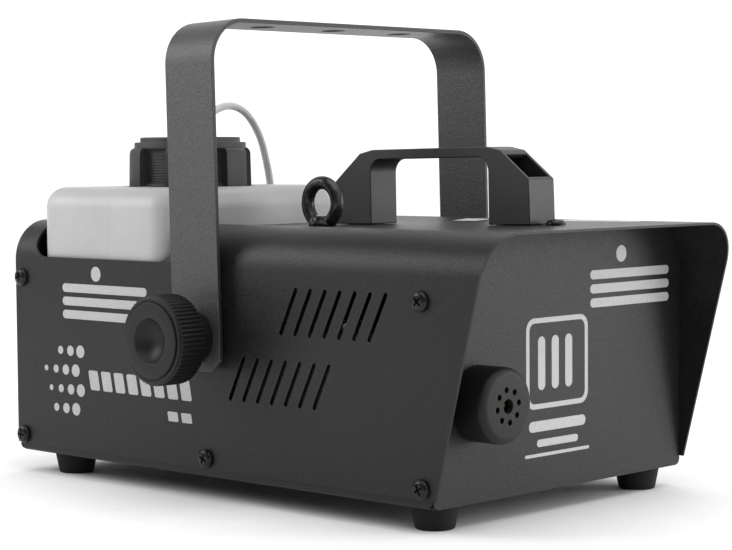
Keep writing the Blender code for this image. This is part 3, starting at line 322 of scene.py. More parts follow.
def tank_plastic(name):
    """Natural blow-moulded polyethylene: milky, with soft wavy walls, and painted shade that darkens the
    faces that look up.
    """
    colour = grey(0.50)
    made = finish(
        name, colour, Roughness=0.42, Subsurface_Weight=0.35, Subsurface_Radius=grey(0.012),
        Subsurface_Scale=1.0, Specular_IOR_Level=0.4,
    )
    cloud = noise(made, 0.035, 3.0)
    skin = noise(made, 0.0011, 2.0)
    milky = tint(made, cloud, colour, 0.93, 1.05)
    facing = step(made, "SeparateXYZ", Vector=step(made, "NewGeometry").outputs["Normal"]).outputs["Z"]
    # Painted shade: faces that look up are darkened towards 0.74 of the colour, to hold down the light
    # that falls on the top.
    painted_top_shade = spread(made, facing, 0.0, 1.0, 0.35, 0.95)
    drive(made, "Base Color", mix(made, painted_top_shade, milky, scaled(colour, 0.74)))
    drive(made, "Roughness", spread(made, skin, 0.36, 0.50))
    waves = relief(made, noise(made, 0.030, 2.0), 0.0008, strength=0.5)
    drive(made, "Normal", relief(made, skin, 0.00003, waves))
    return made


def tube_plastic(name):
    """Soft translucent tube, faintly streaked along its length."""
    colour = grey(0.44)
    made = finish(
        name, colour, Roughness=0.28, Subsurface_Weight=0.3, Subsurface_Radius=grey(0.004),
        Subsurface_Scale=1.0, Coat_Weight=0.2,
    )
    streak = noise(made, 0.015, 2.0)
    drive(made, "Base Color", tint(made, streak, colour, 0.94, 1.05))
    drive(made, "Roughness", spread(made, noise(made, 0.0012), 0.24, 0.32))
    return made


def fibres(name):
    """Woven heat insulation, dark with use."""
    colour = (0.045, 0.042, 0.038)
    made = finish(name, colour, Roughness=0.95, Sheen_Weight=0.3)
    threads = noise(made, 0.0016, 4.0, 0.7, (1, 0.15, 1))
    drive(made, "Base Color", tint(made, threads, colour, 0.6, 1.1))
    drive(made, "Normal", relief(made, threads, 0.0004))
    return made


def print_ink(name):
    """Pale screen-printed ink, a little thin in places."""
    colour = grey(0.46)
    made = finish(name, colour, Roughness=0.5)
    thin = noise(made, 0.0009, 3.0, 0.7)
    drive(made, "Base Color", tint(made, thin, colour, 0.86, 1.04, 0.3, 0.55))
    drive(made, "Roughness", spread(made, thin, 0.45, 0.62))
    drive(made, "Normal", relief(made, thin, 0.00003))
    return made


def floor_paper(name):
    made = finish(name, grey(0.90), Roughness=0.9)
    fibre = noise(made, 0.02, 4.0)
    drive(made, "Base Color", tint(made, fibre, grey(1.0), 0.89, 0.92))
    return made


# Near-black painted shade for the walls inside the louvre slots.
SLOT_WALL_SHADE = powder_coat("slot_wall_painted_shade", grey(0.003), grey(0.006), 0.00010, 0.1)
# A darker copy of the yoke paint: painted shade on the yoke strip's cut edges.
YOKE_EDGE_SHADE = powder_coat("yoke_edge_painted_shade", grey(0.014), grey(0.30), 0.00030)
KNOB_PLASTIC = moulded("knob_plastic", grey(0.006), 0.46, wear_and_glint=grey(0.030), shine=0.30)
SHROUD_PLASTIC = moulded("shroud_plastic", grey(0.006), 0.50, 0.0011, 0.00012, grey(0.03), 0.3)
CAP_PLASTIC = moulded("cap_plastic", grey(0.028), 0.55, grain=0.0009, wear_and_glint=grey(0.08))
SCREW_BLACK = blackened("screw_black", grey(0.004), 0.0, 0.3)
INK = print_ink("print_ink")

FINISHES = {
    "case_paint": powder_coat("case_paint", grey(0.012), grey(0.065), 0.00016, 0.28),
    "yoke_paint": powder_coat("yoke_paint", grey(0.050), grey(0.16), 0.00020),
    "black_plastic": moulded("black_plastic", grey(0.016), 0.46, wear_and_glint=grey(0.060)),
    "black_gloss": moulded("black_gloss", grey(0.008), 0.22, depth=0.00001),
    "black_oxide": blackened("blackened_steel", grey(0.012), 0.35, 0.6),
    "rubber": moulded("rubber", grey(0.006), 0.72, grain=0.0010, depth=0.00006, shine=0.3),
    "tank_plastic": tank_plastic("tank_plastic"),
    "clear_tube": tube_plastic("tube_plastic"),
    "steel": metal("steel", grey(0.60), 0.32, (1, 1, 0.1)),
    "aluminium": metal("aluminium", grey(0.68), 0.45, size=0.0015, depth=0.00006),
    "brass": metal("brass", (0.70, 0.52, 0.24), 0.30, (1, 0.1, 1)),
    "wool": fibres("wool"),
    "board": moulded("board", (0.03, 0.12, 0.06), 0.45, grain=0.0016),
    "white_plastic": moulded("white_plastic", (0.72, 0.72, 0.69), 0.45),
}


# ---- shape helpers


def add(name, data):
    made = bpy.data.objects.new(name, data)
    bpy.context.scene.collection.objects.link(made)
    return made


def mesh_of(bm, name):
    bmesh.ops.recalc_face_normals(bm, faces=bm.faces)
    mesh = bpy.data.meshes.new(name)
    bm.to_mesh(mesh)
    bm.free()
    return mesh


def smoothed(mesh):
    mesh.shade_smooth()
    mesh.set_sharp_from_angle(angle=math.radians(40))
    return mesh


def baked(name, curve):
    """A curve's shape as a bmesh, with its doubled points merged."""
    guide = add(name + "_guide", curve)
    bpy.context.view_layer.update()
    graph = bpy.context.evaluated_depsgraph_get()
    mesh = bpy.data.meshes.new_from_object(guide.evaluated_get(graph))
    bpy.data.objects.remove(guide, do_unlink=True)
    bm = bmesh.new()
    bm.from_mesh(mesh)
    bmesh.ops.remove_doubles(bm, verts=bm.verts, dist=0.000002)
    return bm


def block(name, low, high, bevel=0.0, segments=3):
    """A box between two case points, with an optional rounding of all its edges."""
    bm = bmesh.new()
    bmesh.ops.create_cube(bm, size=1.0)
    bmesh.ops.scale(bm, vec=[b - a for a, b in zip(low, high)], verts=bm.verts)
    if bevel:
        bmesh.ops.bevel(bm, geom=bm.edges, offset=bevel, segments=segments, profile=0.5, affect="EDGES")
    made = add(name, mesh_of(bm, name))
    made.location = at(*[(a + b) / 2 for a, b in zip(low, high)])
    return made


def aim(obj, start, direction, spin=0.0):
    """Puts the object's origin at start with its local Z along direction, turned by spin about it."""
    turn = Vector(UP).rotation_difference(Vector(direction).normalized())
    obj.rotation_mode = "QUATERNION"
    obj.rotation_quaternion = turn @ Matrix.Rotation(spin, 3, "Z").to_quaternion()
    obj.location = start
    return obj


def corner_path(corners, steps=8):
    """Points of a closed outline whose corners are (u, v, radius): each round corner becomes an arc."""
    points = []
    count = len(corners)
    for i, (u, v, radius) in enumerate(corners):
        here = Vector((u, v))
        if not radius:
            points.append(here)
            continue
        back = (Vector(corners[i - 1][:2]) - here).normalized()
        ahead = (Vector(corners[(i + 1) % count][:2]) - here).normalized()
        half_angle = back.angle(ahead) / 2
        centre = here + (back + ahead).normalized() * radius / math.sin(half_angle)
        first = here + back * radius / math.tan(half_angle) - centre
        sweep = (math.pi - 2 * half_angle) * (1 if ahead.cross(back) > 0 else -1)
        for k in range(steps + 1):
            points.append(centre + Matrix.Rotation(sweep * k / steps, 2) @ first)
    return points


def circle(u, v, radius, count=40):
    return [
        Vector((u + radius * math.cos(math.tau * k / count), v + radius * math.sin(math.tau * k / count)))
        for k in range(count)
    ]


def lathe(name, corners, start, direction, steps, ripple=None, arc_steps=4):
    """A turned piece with corners (radius, height, rounding), from the top down its outside to the bottom.
    ripple gives what is added to the radius at an angle, radius and height."""
    bm = bmesh.new()
    rings = []
    for radius, height in corner_path(corners, arc_steps):
        if radius < 1e-7:
            rings.append([bm.verts.new((0, 0, height))])
            continue
        ring = []
        for k in range(steps):
            angle = math.tau * k / steps
            r = radius + (ripple(angle, radius, height) if ripple else 0)
            ring.append(bm.verts.new((r * math.cos(angle), r * math.sin(angle), height)))
        rings.append(ring)
    pairs = list(zip(rings, rings[1:]))
    if corners[0][0] > 0:
        pairs.append((rings[-1], rings[0]))
    for upper, lower in pairs:
        for k in range(steps):
            around = [upper[k % len(upper)], lower[k % len(lower)]]
            around += [lower[(k + 1) % len(lower)], upper[(k + 1) % len(upper)]]
            verts = list(dict.fromkeys(around))
            if len(verts) > 2:
                bm.faces.new(verts)
    return aim(add(name, smoothed(mesh_of(bm, name))), start, direction)


def plate(name, outlines, thickness, placed):
    """Flat outlines of (u, v) points, extruded both ways from their plane. An inner outline is a hole."""
    curve = bpy.data.curves.new(name, "CURVE")
    curve.dimensions = "2D"
    curve.fill_mode = "BOTH"
    curve.extrude = thickness / 2
    for outline in outlines:
        spline = curve.splines.new("POLY")
        spline.points.add(len(outline) - 1)
        for point, (u, v) in zip(spline.points, outline):
            point.co = (u, v, 0, 1)
        spline.use_cyclic_u = True
    bm = baked(name, curve)
    bmesh.ops.dissolve_limit(bm, angle_limit=0.001, verts=bm.verts, edges=bm.edges)
    made = add(name, mesh_of(bm, name))
    made.matrix_world = placed
    return made


def side_frame(x=0.0):
    """Frame of an outline drawn in case (y, z), whose normal is +X."""
    origin = at(x, 0, 0)
    return Matrix(((0, 0, 1, origin.x), (1, 0, 0, origin.y), (0, 1, 0, origin.z), (0, 0, 0, 1)))


def end_frame(y):
    """Frame of an outline drawn in case (x, z)."""
    origin = at(0, y, 0)
    return Matrix(((1, 0, 0, origin.x), (0, 0, -1, origin.y), (0, 1, 0, origin.z), (0, 0, 0, 1)))


def top_frame(z):
    """Frame of an outline drawn in case (x, y)."""
    return Matrix.Translation(at(0, 0, z))


def combine(obj, other, operation):
    made = obj.modifiers.new(operation.lower(), "BOOLEAN")
    made.operation = operation
    made.object = other
    made.solver = "EXACT"


def cut(obj, *cutters):
    for cutter in cutters:
        combine(obj, cutter, "DIFFERENCE")
    return obj


def soften(obj, width, segments=2, angle=35):
    """Rounds every sharp edge that the steps so far have left."""
    weld = obj.modifiers.new("weld", "WELD")
    weld.merge_threshold = 0.00001
    rounding = obj.modifiers.new("edges", "BEVEL")
    rounding.width = width
    rounding.segments = segments
    rounding.limit_method = "ANGLE"
    rounding.angle_limit = math.radians(angle)
    rounding.use_clamp_overlap = True
    rounding.harden_normals = True
    obj.data.shade_smooth()
    return obj


def helpers_of(obj):
    """The shapes that an object's modifiers use, and the ones that those use in turn."""
    own = [item.object for item in obj.modifiers if item.type == "BOOLEAN"]
    return [*own, *[deeper for helper in own for deeper in helpers_of(helper)]]


def settle(obj):
    """Applies the object's modifiers and its place, and removes the shapes that they used."""
    helpers = helpers_of(obj)
    bpy.context.view_layer.update()
    graph = bpy.context.evaluated_depsgraph_get()
    mesh = bpy.data.meshes.new_from_object(obj.evaluated_get(graph))
    mesh.transform(obj.matrix_world)
    obj.modifiers.clear()
    obj.data = mesh
    obj.matrix_world = Matrix.Identity(4)
    for helper in helpers:
        bpy.data.objects.remove(helper, do_unlink=True)


def paint(obj, material):
    obj.data.materials.clear()
    obj.data.materials.append(material)
    obj.data.polygons.foreach_set("material_index", [0] * len(obj.data.polygons))


def piece(obj, body, slot, *nodes, look=None):
    """Gives the object its final mesh and its finish, hangs it on the body that it rides on, and hides the
    CAD nodes that it stands for.
    """
    settle(obj)
    paint(obj, look or FINISHES[slot])
    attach(obj, body)
    if nodes:
        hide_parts(*nodes)


def refined(name, node, width):
    """A copy of a CAD node's shape, with its flat faces whole and its edges rounded."""
    bm = bmesh.new()
    bm.from_mesh(NODES[node].data)
    bmesh.ops.remove_doubles(bm, verts=bm.verts, dist=0.000003)
    bmesh.ops.dissolve_limit(bm, angle_limit=math.radians(1), verts=bm.verts, edges=bm.edges)
    return level(soften(add(name, mesh_of(bm, name)), width))


def level(obj):
    """Lets the large faces set the normals, so that a flat face is shaded flat."""
    even = obj.modifiers.new("even", "WEIGHTED_NORMAL")
    even.keep_sharp = True
    even.weight = 100
    return obj


# ---- intake tube


def smooth_route(points, per_span):
    """A Catmull-Rom curve through the given points."""
    held = [points[0] * 2 - points[1], *points, points[-1] * 2 - points[-2]]
    route = []
    for a, b, c, d in zip(held, held[1:], held[2:], held[3:]):
        for k in range(per_span):
            t = k / per_span
            cubic = (3 * b - a - 3 * c + d) * t**3
            square = (2 * a - 5 * b + 4 * c - d) * t**2
            route.append(0.5 * (2 * b + (c - a) * t + square + cubic))
    return [*route, points[-1]]


def arch_points():
    """The intake tube's free arch, from inside the cap over to the grommet on the cover."""
    x, y = TUBE_HOLE
    across = (
        (0.0000, CAP_BASE + 0.0120), (0.0040, 0.1665), (0.0900, 0.1790), (0.2800, 0.1878),
        (0.4750, 0.1910), (0.6700, 0.1868), (0.8350, 0.1740), (0.9350, 0.1555), (0.9800, 0.1400),
    )
    route = [at(TANK_X + (x - TANK_X) * share, TANK_Y + (y - TANK_Y) * share, z) for share, z in across]
    return [*route, at(x, y, CASE_HEIGHT + 0.0020), at(x, y, CASE_HEIGHT - 0.0190)]


def tube_mesh(name, points, radius):
    """A round tube along world points, with flat ends."""
    sides = 16
    curve = bpy.data.curves.new(name, "CURVE")
    curve.dimensions = "3D"
    curve.bevel_depth = radius
    curve.bevel_resolution = (sides - 4) // 2
    curve.use_fill_caps = True
    spline = curve.splines.new("POLY")
    spline.points.add(len(points) - 1)
    for slot, point in zip(spline.points, points):
        slot.co = (*point, 1)
    return smoothed(mesh_of(baked(name, curve), name))


def make_intake_tube():
    fine_route = smooth_route(arch_points(), 8)
    tube = add("clear_intake_tube", tube_mesh("clear_intake_tube", fine_route, TUBE_RADIUS))
    paint(tube, FINISHES["clear_tube"])
    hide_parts("intake_tube")
    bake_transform(tube)


# ---- case


def hood_edge(z):
    """How far in front of the front panel the cover's edge stands at height z."""
    share = (z - COVER_SKIRT) / (CASE_HEIGHT - COVER_SKIRT)
    return HOOD_REACH_LOW + (HOOD_REACH - HOOD_REACH_LOW) * share


def sag(x, y):
    """How far the top panel dips at (x, y): nothing at the bends and both ends, most before the bay."""
    across = (HALF - COVER_BEND - abs(x)) / (HALF - COVER_BEND - SAG_FLAT)
    falling = (y - HANDLE_FRONT) / (HANDLE_REAR - HANDLE_FRONT)
    rising = (SAG_END - y) / (SAG_END - SAG_RISE)
    return TOP_SAG * max(0.0, min(1.0, across)) * max(0.0, min(1.0, falling, rising))


def bent_side(half, foot, knee, top, bend):
    """(x, z) up a left wall and round the bend at its top."""
    side, steps = [(-half, foot), (-half, knee)], 14
    for k in range(steps + 1):
        angle = math.pi / 2 * k / steps
        side.append((-half + bend * (1 - math.cos(angle)), top - bend * (1 - math.sin(angle))))
    return side


def mirrored(side):
    return [*side, *[(-x, z) for x, z in reversed(side)]]


def cover_profile():
    """(x, z) along the cover's outer face, from its left lower edge over the top to the right one."""
    left = bent_side(HALF, COVER_SKIRT, 0.060, CASE_HEIGHT, COVER_BEND)
    edge = -HALF + COVER_BEND
    left += [(edge + (-SAG_FLAT - edge) * (k + 1) / 4, CASE_HEIGHT) for k in range(4)]
    return mirrored(left)


def drawn_out(name, rows):
    """A skin between rows of world points, one row after another along the case, its faces outwards."""
    bm = bmesh.new()
    verts = [[bm.verts.new(point) for point in row] for row in rows]
    for first, second in zip(verts, verts[1:]):
        for k in range(len(first) - 1):
            bm.faces.new((first[k], first[k + 1], second[k + 1], second[k]))
    mesh = bpy.data.meshes.new(name)
    bm.to_mesh(mesh)
    bm.free()
    return add(name, mesh)


def thicken(obj, thickness):
    wall = obj.modifiers.new("sheet", "SOLIDIFY")
    wall.thickness = thickness
    wall.offset = -1
    wall.use_even_offset = True
    return obj


def slot_outline(top, bottom):
    """A round-ended slanted slot between the centres of its two end arcs, in (y, z)."""
    top, bottom = Vector(top), Vector(bottom)
    along = (top - bottom).normalized()
    first = Vector((along.y, -along.x)) * SLOT_WIDTH / 2
    outline = []
    for centre, start in ((top, 0), (bottom, math.pi)):
        for k in range(9):
            outline.append(centre + Matrix.Rotation(start + math.pi * k / 8, 2) @ first)
    return outline


def louvres():
    """Two rows of slanted slots."""
    rows = (((0.0285, 0.0979), (0.0391, 0.0766)), ((0.0658, 0.0622), (0.0759, 0.0418)))
    for top, bottom in rows:
        for k in range(SLOTS_IN_ROW):
            shift = SLOT_PITCH * k
            yield slot_outline((top[0] + shift, top[1]), (bottom[0] + shift, bottom[1]))


def make_cover():
    profile = cover_profile()
    rows = [[at(x, -hood_edge(z), z) for x, z in profile]]
    ramp = [HANDLE_FRONT + (HANDLE_REAR - HANDLE_FRONT) * k / 5 for k in range(6)]
    climb = [SAG_RISE + (SAG_END - SAG_RISE) * k / 3 for k in range(4)]
    for y in [*ramp, *climb, CASE_LENGTH]:
        rows.append([at(x, y, z - (sag(x, y) if z > CASE_HEIGHT - 1e-6 else 0)) for x, z in profile])
    cover = thicken(drawn_out("case_cover", rows), SHEET)
    above, round_corner, pivot_hole = 0.2, 0.010, 0.0044
    bay = [
        (BAY_FRONT, BAY_SIDE_HEIGHT, round_corner), (BAY_REAR, BAY_SIDE_HEIGHT, round_corner),
        (BAY_REAR, above, 0), (BAY_FRONT, above, 0),
    ]
    left = -HALF - 0.01
    placed = side_frame((BAY_FAR_X + left) / 2)
    cut(cover, plate("bay_cutter", [corner_path(bay)], BAY_FAR_X - left, placed))
    holes = [*louvres(), circle(PIVOT_Y, PIVOT_Z, pivot_hole)]
    cut(cover, plate("side_cutter", holes, 2 * HALF + 0.02, side_frame()))
    grommet_hole, bolt_hole = 0.0054, 0.0034
    holes = [circle(*TUBE_HOLE, grommet_hole, 24), circle(*middle("eyebolt")[:2], bolt_hole, 24)]
    cut(cover, plate("top_cutter", holes, 0.02, top_frame(CASE_HEIGHT)))
    piece(soften(cover, 0.00028), "case", "case_paint", "cover")
    # Painted shade: the walls inside the louvre slots get the near-black finish, for the shade in the
    # slots.
    cover.data.materials.append(SLOT_WALL_SHADE)
    low, high = at(0, 0.020, 0.038), at(0, 0.150, 0.102)
    for polygon in cover.data.polygons:
        in_slot_shade = low.y < polygon.center.y < high.y and low.z < polygon.center.z < high.z
        polygon.material_index = int(in_slot_shade and abs(polygon.normal.x) < 0.5)


def corner_off(edge, inward, foot, size):
    """Outline, in (y, z), that takes the lower corner off a sheet whose edge and foot are given."""
    outside, inside, below = edge - inward * 0.002, edge + inward * size, foot - 0.002
    top = foot + size
    points = [(outside, below), (inside, below), (inside, foot), (edge, top), (outside, top)]
    return [Vector(point) for point in points]


def make_base_pan():
    """Folded bottom with an upturned lip along each side, its lips cut back at the corners."""
    fold, chamfer = 0.0020, 0.0030
    low, high = case_box("base_pan")
    left = [(-INSIDE, LIP_HEIGHT)]
    for k in range(7):
        angle = math.pi / 2 * k / 6
        left.append((-INSIDE + fold * (1 - math.cos(angle)), fold * (1 - math.sin(angle))))
    rows = [[at(x, y, z) for x, z in mirrored(left)] for y in (low.y, high.y)]
    pan = thicken(drawn_out("folded_base_pan", rows), -SHEET)
    corners = [corner_off(low.y, 1, 0.0, chamfer), corner_off(high.y, -1, 0.0, chamfer)]
    for name, side in SIDES:
        placed = side_frame(side * INSIDE)
        cut(pan, plate("pan_cutter_" + name, corners, 2 * fold, placed))
    piece(soften(pan, 0.00025), "case", "case_paint", "base_pan")


def make_panels():
    for node in ("front_panel", "rear_panel", "tank_tray"):
        piece(refined("sheet_" + node, node, 0.00025), "case", "case_paint", node)


def make_feet():
    """Rubber feet with a rounded lower edge and a recess for their screws."""
    for name in ("front_left", "front_right", "rear_left", "rear_right"):
        low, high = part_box("foot_" + name)
        radius, top = (high.x - low.x) / 2, PAN_Z - GAP
        stem, stem_top, taper, recess = 0.0022, top + 0.0035, 0.0022, 0.0040
        corners = [
            (0, stem_top, 0), (stem, stem_top, 0.0006), (stem, top, 0), (radius, top, 0.0008),
            (radius - taper, 0, 0.0011), (0.0050, 0, 0.0005), (0.0042, recess, 0), (0, recess, 0),
        ]
        start = ((low.x + high.x) / 2, (low.y + high.y) / 2, 0)
        foot = lathe("rubber_foot_" + name, corners, start, UP, 56)
        piece(foot, "case", "rubber", "foot_" + name)


# ---- screws


def screw_mesh(head, tall):
    """A domed pan head with a cross recess, its underside at height 0."""
    corners = [
        (0, tall, 0), (head * 0.72, tall * 0.90, head * 0.5), (head, tall * 0.42, head * 0.3),
        (head, 0, 0.0002), (0.0018, 0, 0), (0.0018, -0.0050, 0.0004), (0, -0.0050, 0),
    ]
    body = lathe("screw_master", corners, (0, 0, 0), UP, 48)
    for turn in (0, math.pi / 2):
        arm = [
            (-head * 0.56, tall + 0.001, 0), (-head * 0.50, tall * 0.45, 0),
            (-head * 0.16, tall * 0.10, 0), (head * 0.16, tall * 0.10, 0),
            (head * 0.50, tall * 0.45, 0), (head * 0.56, tall + 0.001, 0),
        ]
        turned = Matrix.Rotation(turn, 4, "Z") @ Matrix.Rotation(math.pi / 2, 4, "X")
        cut(body, plate(f"cross_{turn:.0f}", [corner_path(arm)], head * 0.20, turned))
    settle(soften(body, 0.00010, 2, 30))
    mesh = body.data
    bpy.data.objects.remove(body, do_unlink=True)
    return mesh


def make_screws():
    """Every pan-head screw shares one mesh and is turned to its own angle."""
    screws = sorted(name for name in NODES if name.startswith("cover_screw_"))
    low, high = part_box(screws[0])
    mesh = screw_mesh((high.z - low.z) / 2, SCREW_HEAD_HEIGHT)
    mesh.materials.clear()
    mesh.materials.append(SCREW_BLACK)
    for k, node in enumerate(screws):
        low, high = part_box(node)
        centre = (low + high) / 2
        if "left" in node:
            start, direction = Vector((-HALF - GAP, centre.y, centre.z)), (-1, 0, 0)
        elif "right" in node:
            start, direction = Vector((HALF + GAP, centre.y, centre.z)), (1, 0, 0)
        else:
            start, direction = Vector((centre.x, centre.y, PAN_Z + CASE_HEIGHT + GAP)), UP
        screw = aim(add(node.replace("cover_screw", "pan_head"), mesh), start, direction, 0.5 + 1.9 * k)
        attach(screw, "case")
        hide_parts(node)


# ---- handle and eyebolt


def handle_frame():
    """Frame of the handle's side outline: u runs back from the front foot, v up from the top panel."""
    slope = math.atan2(TOP_SAG, HANDLE_REAR - HANDLE_FRONT)
    turn = Matrix.Rotation(-slope, 4, "X")
    axes = Matrix(((0, 0, 1, 0), (1, 0, 0, 0), (0, 1, 0, 0), (0, 0, 0, 1)))
    return Matrix.Translation(at(0, HANDLE_FRONT, CASE_HEIGHT + GAP)) @ turn @ axes


def make_handle():
    """A hollow moulding: two side plates, end walls, a grip bar, and legs left open along their slopes."""
    length = HANDLE_REAR - HANDLE_FRONT
    top, grip_top, slope_foot, slope_run, leg = HANDLE_HEIGHT, 0.0337, 0.0225, 0.0188, 0.0265
    outline = [
        (0, 0, 0), (length, 0, 0), (length - 0.0006, slope_foot, 0.0015),
        (length - slope_run, top - 0.0018, 0.003), (length - slope_run - 0.009, top, 0.012),
        (slope_run + 0.009, top, 0.012), (slope_run, top - 0.0018, 0.003), (0.0006, slope_foot, 0.0015),
    ]
    handle = plate("carrying_handle", [corner_path(outline)], HANDLE_WIDTH, handle_frame())
    grip = [
        (leg, -0.01, 0), (length - leg, -0.01, 0), (length - leg, grip_top, 0.007),
        (leg, grip_top, 0.007),
    ]
    cut(handle, plate("grip_cutter", [corner_path(grip)], 0.05, handle_frame()))
    near, far = HANDLE_WALL, leg - HANDLE_WALL
    pocket = [
        (near, 0.003), (far, 0.003), (far, 0.031), (0.0175, 0.0335), (0.0115, 0.041), (near, 0.041),
    ]
    pockets = [pocket, [(length - u, v) for u, v in reversed(pocket)]]
    inner = HANDLE_WIDTH - 2 * HANDLE_WALL
    cut(handle, plate("pocket_cutter", pockets, inner, handle_frame()))
    piece(soften(handle, 0.0006, 3, 30), "case", "black_plastic", "handle")


def make_eyebolt():
    """A forged ring that flows into its collar."""
    x, y = middle("eyebolt")[:2]
    seat = CASE_HEIGHT - sag(x, y) + GAP
    ring, ring_height, thickness = 0.0105, 0.0118, 0.0034
    collar, shank, foot = 0.0072, 0.0029, -0.0088
    corners = [
        (0, 0.0060, 0), (0.0050, 0.0052, 0.001), (0.0056, 0.0026, 0.001), (collar, 0.0021, 0.0004),
        (collar, 0, 0.0002), (shank, 0, 0), (shank, foot, 0.0004), (0, foot, 0),
    ]
    bolt = lathe("forged_eyebolt", corners, at(x, y, seat), UP, 48)
    section = [(*point, 0) for point in circle(ring, 0, thickness, 20)]
    eye = lathe("ring", section, at(x, y, seat + ring_height), (1, 0, 0), 72)
    reach, top = 0.02, seat + 0.0002
    below = block("below", (x - reach, y - reach, seat - 0.01), (x + reach, y + reach, top))
    combine(bolt, cut(eye, below), "UNION")
    skin = bolt.modifiers.new("skin", "REMESH")
    skin.mode = "VOXEL"
    skin.voxel_size = 0.00032
    skin.use_smooth_shade = True
    flow = bolt.modifiers.new("flow", "SMOOTH")
    flow.factor = 0.5
    flow.iterations = 6
    piece(bolt, "case", "black_oxide", "eyebolt")


# ---- nozzle


def make_nozzle():
    low, high = case_box("nozzle_shroud")
    x, z = middle("nozzle_shroud")[::2]
    radius, length = (high.x - low.x) / 2, high.y - low.y
    wall, face = 0.0020, 0.003
    corners = [
        (0, length, 0), (radius, length, 0.0036), (radius, 0, 0.0004), (radius - wall, 0, 0),
        (radius - wall, length - face, 0.001), (0, length - face, 0),
    ]
    shroud = lathe("perforated_shroud", corners, at(x, high.y, z), FORWARD, 96, arc_steps=8)
    mouth, vent, vent_circle = 0.00345, 0.00148, 0.0077
    holes = [circle(x, z, mouth, 32)]
    for k in range(8):
        angle = math.radians(8.7 + 45 * k)
        u, v = x + vent_circle * math.cos(angle), z + vent_circle * math.sin(angle)
        holes.append(circle(u, v, vent, 24))
    placed = end_frame(low.y)
    cut(shroud, plate("vent_cutter", holes, 0.016, placed))
    piece(soften(shroud, 0.00040, 3, 45), "case", "black_plastic", "nozzle_shroud", look=SHROUD_PLASTIC)
    low, high = case_box("nozzle_tip")
    length = high.y - low.y
    outlet, stem, flange, flange_top = 0.0010, 0.0029, 0.0060, 0.004
    corners = [
        (stem, length, 0.0005), (stem, flange_top, 0), (flange, flange_top, 0.0004), (flange, 0, 0),
        (outlet, 0, 0), (outlet, length, 0),
    ]
    tip = lathe("brass_nozzle_tip", corners, at(x, high.y, z), FORWARD, 48)
    piece(tip, "case", "brass", "nozzle_tip")


# ---- tank and cap


def tank_solid(name, low, high, rounding, seam):
    """A rounded box. seam raises a thin parting line round its middle plane."""
    tank = block(name, low, high, rounding, 12)
    bm = bmesh.new()
    bm.from_mesh(tank.data)
    if seam:
        for shift in (-0.0012, -0.0005, 0.0, 0.0005, 0.0012):
            geometry = [*bm.verts, *bm.edges, *bm.faces]
            place = (0, SEAM_SHIFT + shift, 0)
            bmesh.ops.bisect_plane(bm, geom=geometry, plane_co=place, plane_no=(0, 1, 0))
        bm.normal_update()
        for vert in [vert for vert in bm.verts if abs(vert.co.y - SEAM_SHIFT) < 1e-6]:
            vert.co += vert.normal * seam
    bm.to_mesh(tank.data)
    bm.free()
    tank.data.shade_smooth()
    return tank


def make_tank():
    """Blow-moulded tank, hollow, with an open threaded neck in a shallow round recess for the cap."""
    low = Vector(TANK_LOW)
    high = Vector((TANK_HIGH.x, TANK_HIGH.y, TANK_TOP))
    tank = tank_solid("fluid_tank", low, high, TANK_ROUND, 0.00018)
    wall = Vector((TANK_WALL,) * 3)
    inside, root, crest, brim, foot = 0.0225, 0.0242, 0.0252 - GAP, 0.0116, -0.0060
    neck = [
        (root, brim, 0.0006), (root, 0.0100, 0), (crest, 0.0092, 0), (root, 0.0084, 0), (root, 0.0062, 0),
        (crest, 0.0054, 0), (root, 0.0046, 0), (root, foot, 0), (inside, foot, 0), (inside, brim, 0.0006),
    ]
    mouth = at(TANK_X, TANK_Y, TANK_TOP)
    combine(tank, lathe("neck", neck, mouth, UP, 72), "UNION")
    hollow = tank_solid("hollow", low + wall, high - wall, TANK_ROUND - TANK_WALL, 0)
    bore = [(0, 0.02, 0), (inside, 0.02, 0), (inside, -0.02, 0), (0, -0.02, 0)]
    opening = lathe("neck_bore", bore, mouth, UP, 72)
    recess = [(0.0378, 0.01, 0), (0.0367, 0, 0.0006), (0.0256, 0, 0), (0.0256, 0.01, 0)]
    seat = at(TANK_X, TANK_Y, CAP_BASE - GAP)
    cut(tank, hollow, opening, lathe("cap_seat", recess, seat, UP, 96))
    settle(tank)
    tank.data.set_sharp_from_angle(angle=math.radians(32))
    piece(level(tank), "tank", "tank_plastic", "tank")


def ring_sector(name, outline, start, from_angle, sweep):
    """A cutter: a closed (radius, height) outline swept part of the way round the vertical at start."""
    bm = bmesh.new()
    face = bm.faces.new([bm.verts.new((radius, 0, height)) for radius, height in outline])
    bmesh.ops.spin(bm, geom=[face], axis=UP, angle=sweep, steps=10)
    made = add(name, mesh_of(bm, name))
    made.location = start
    made.rotation_euler.z = from_angle
    return made


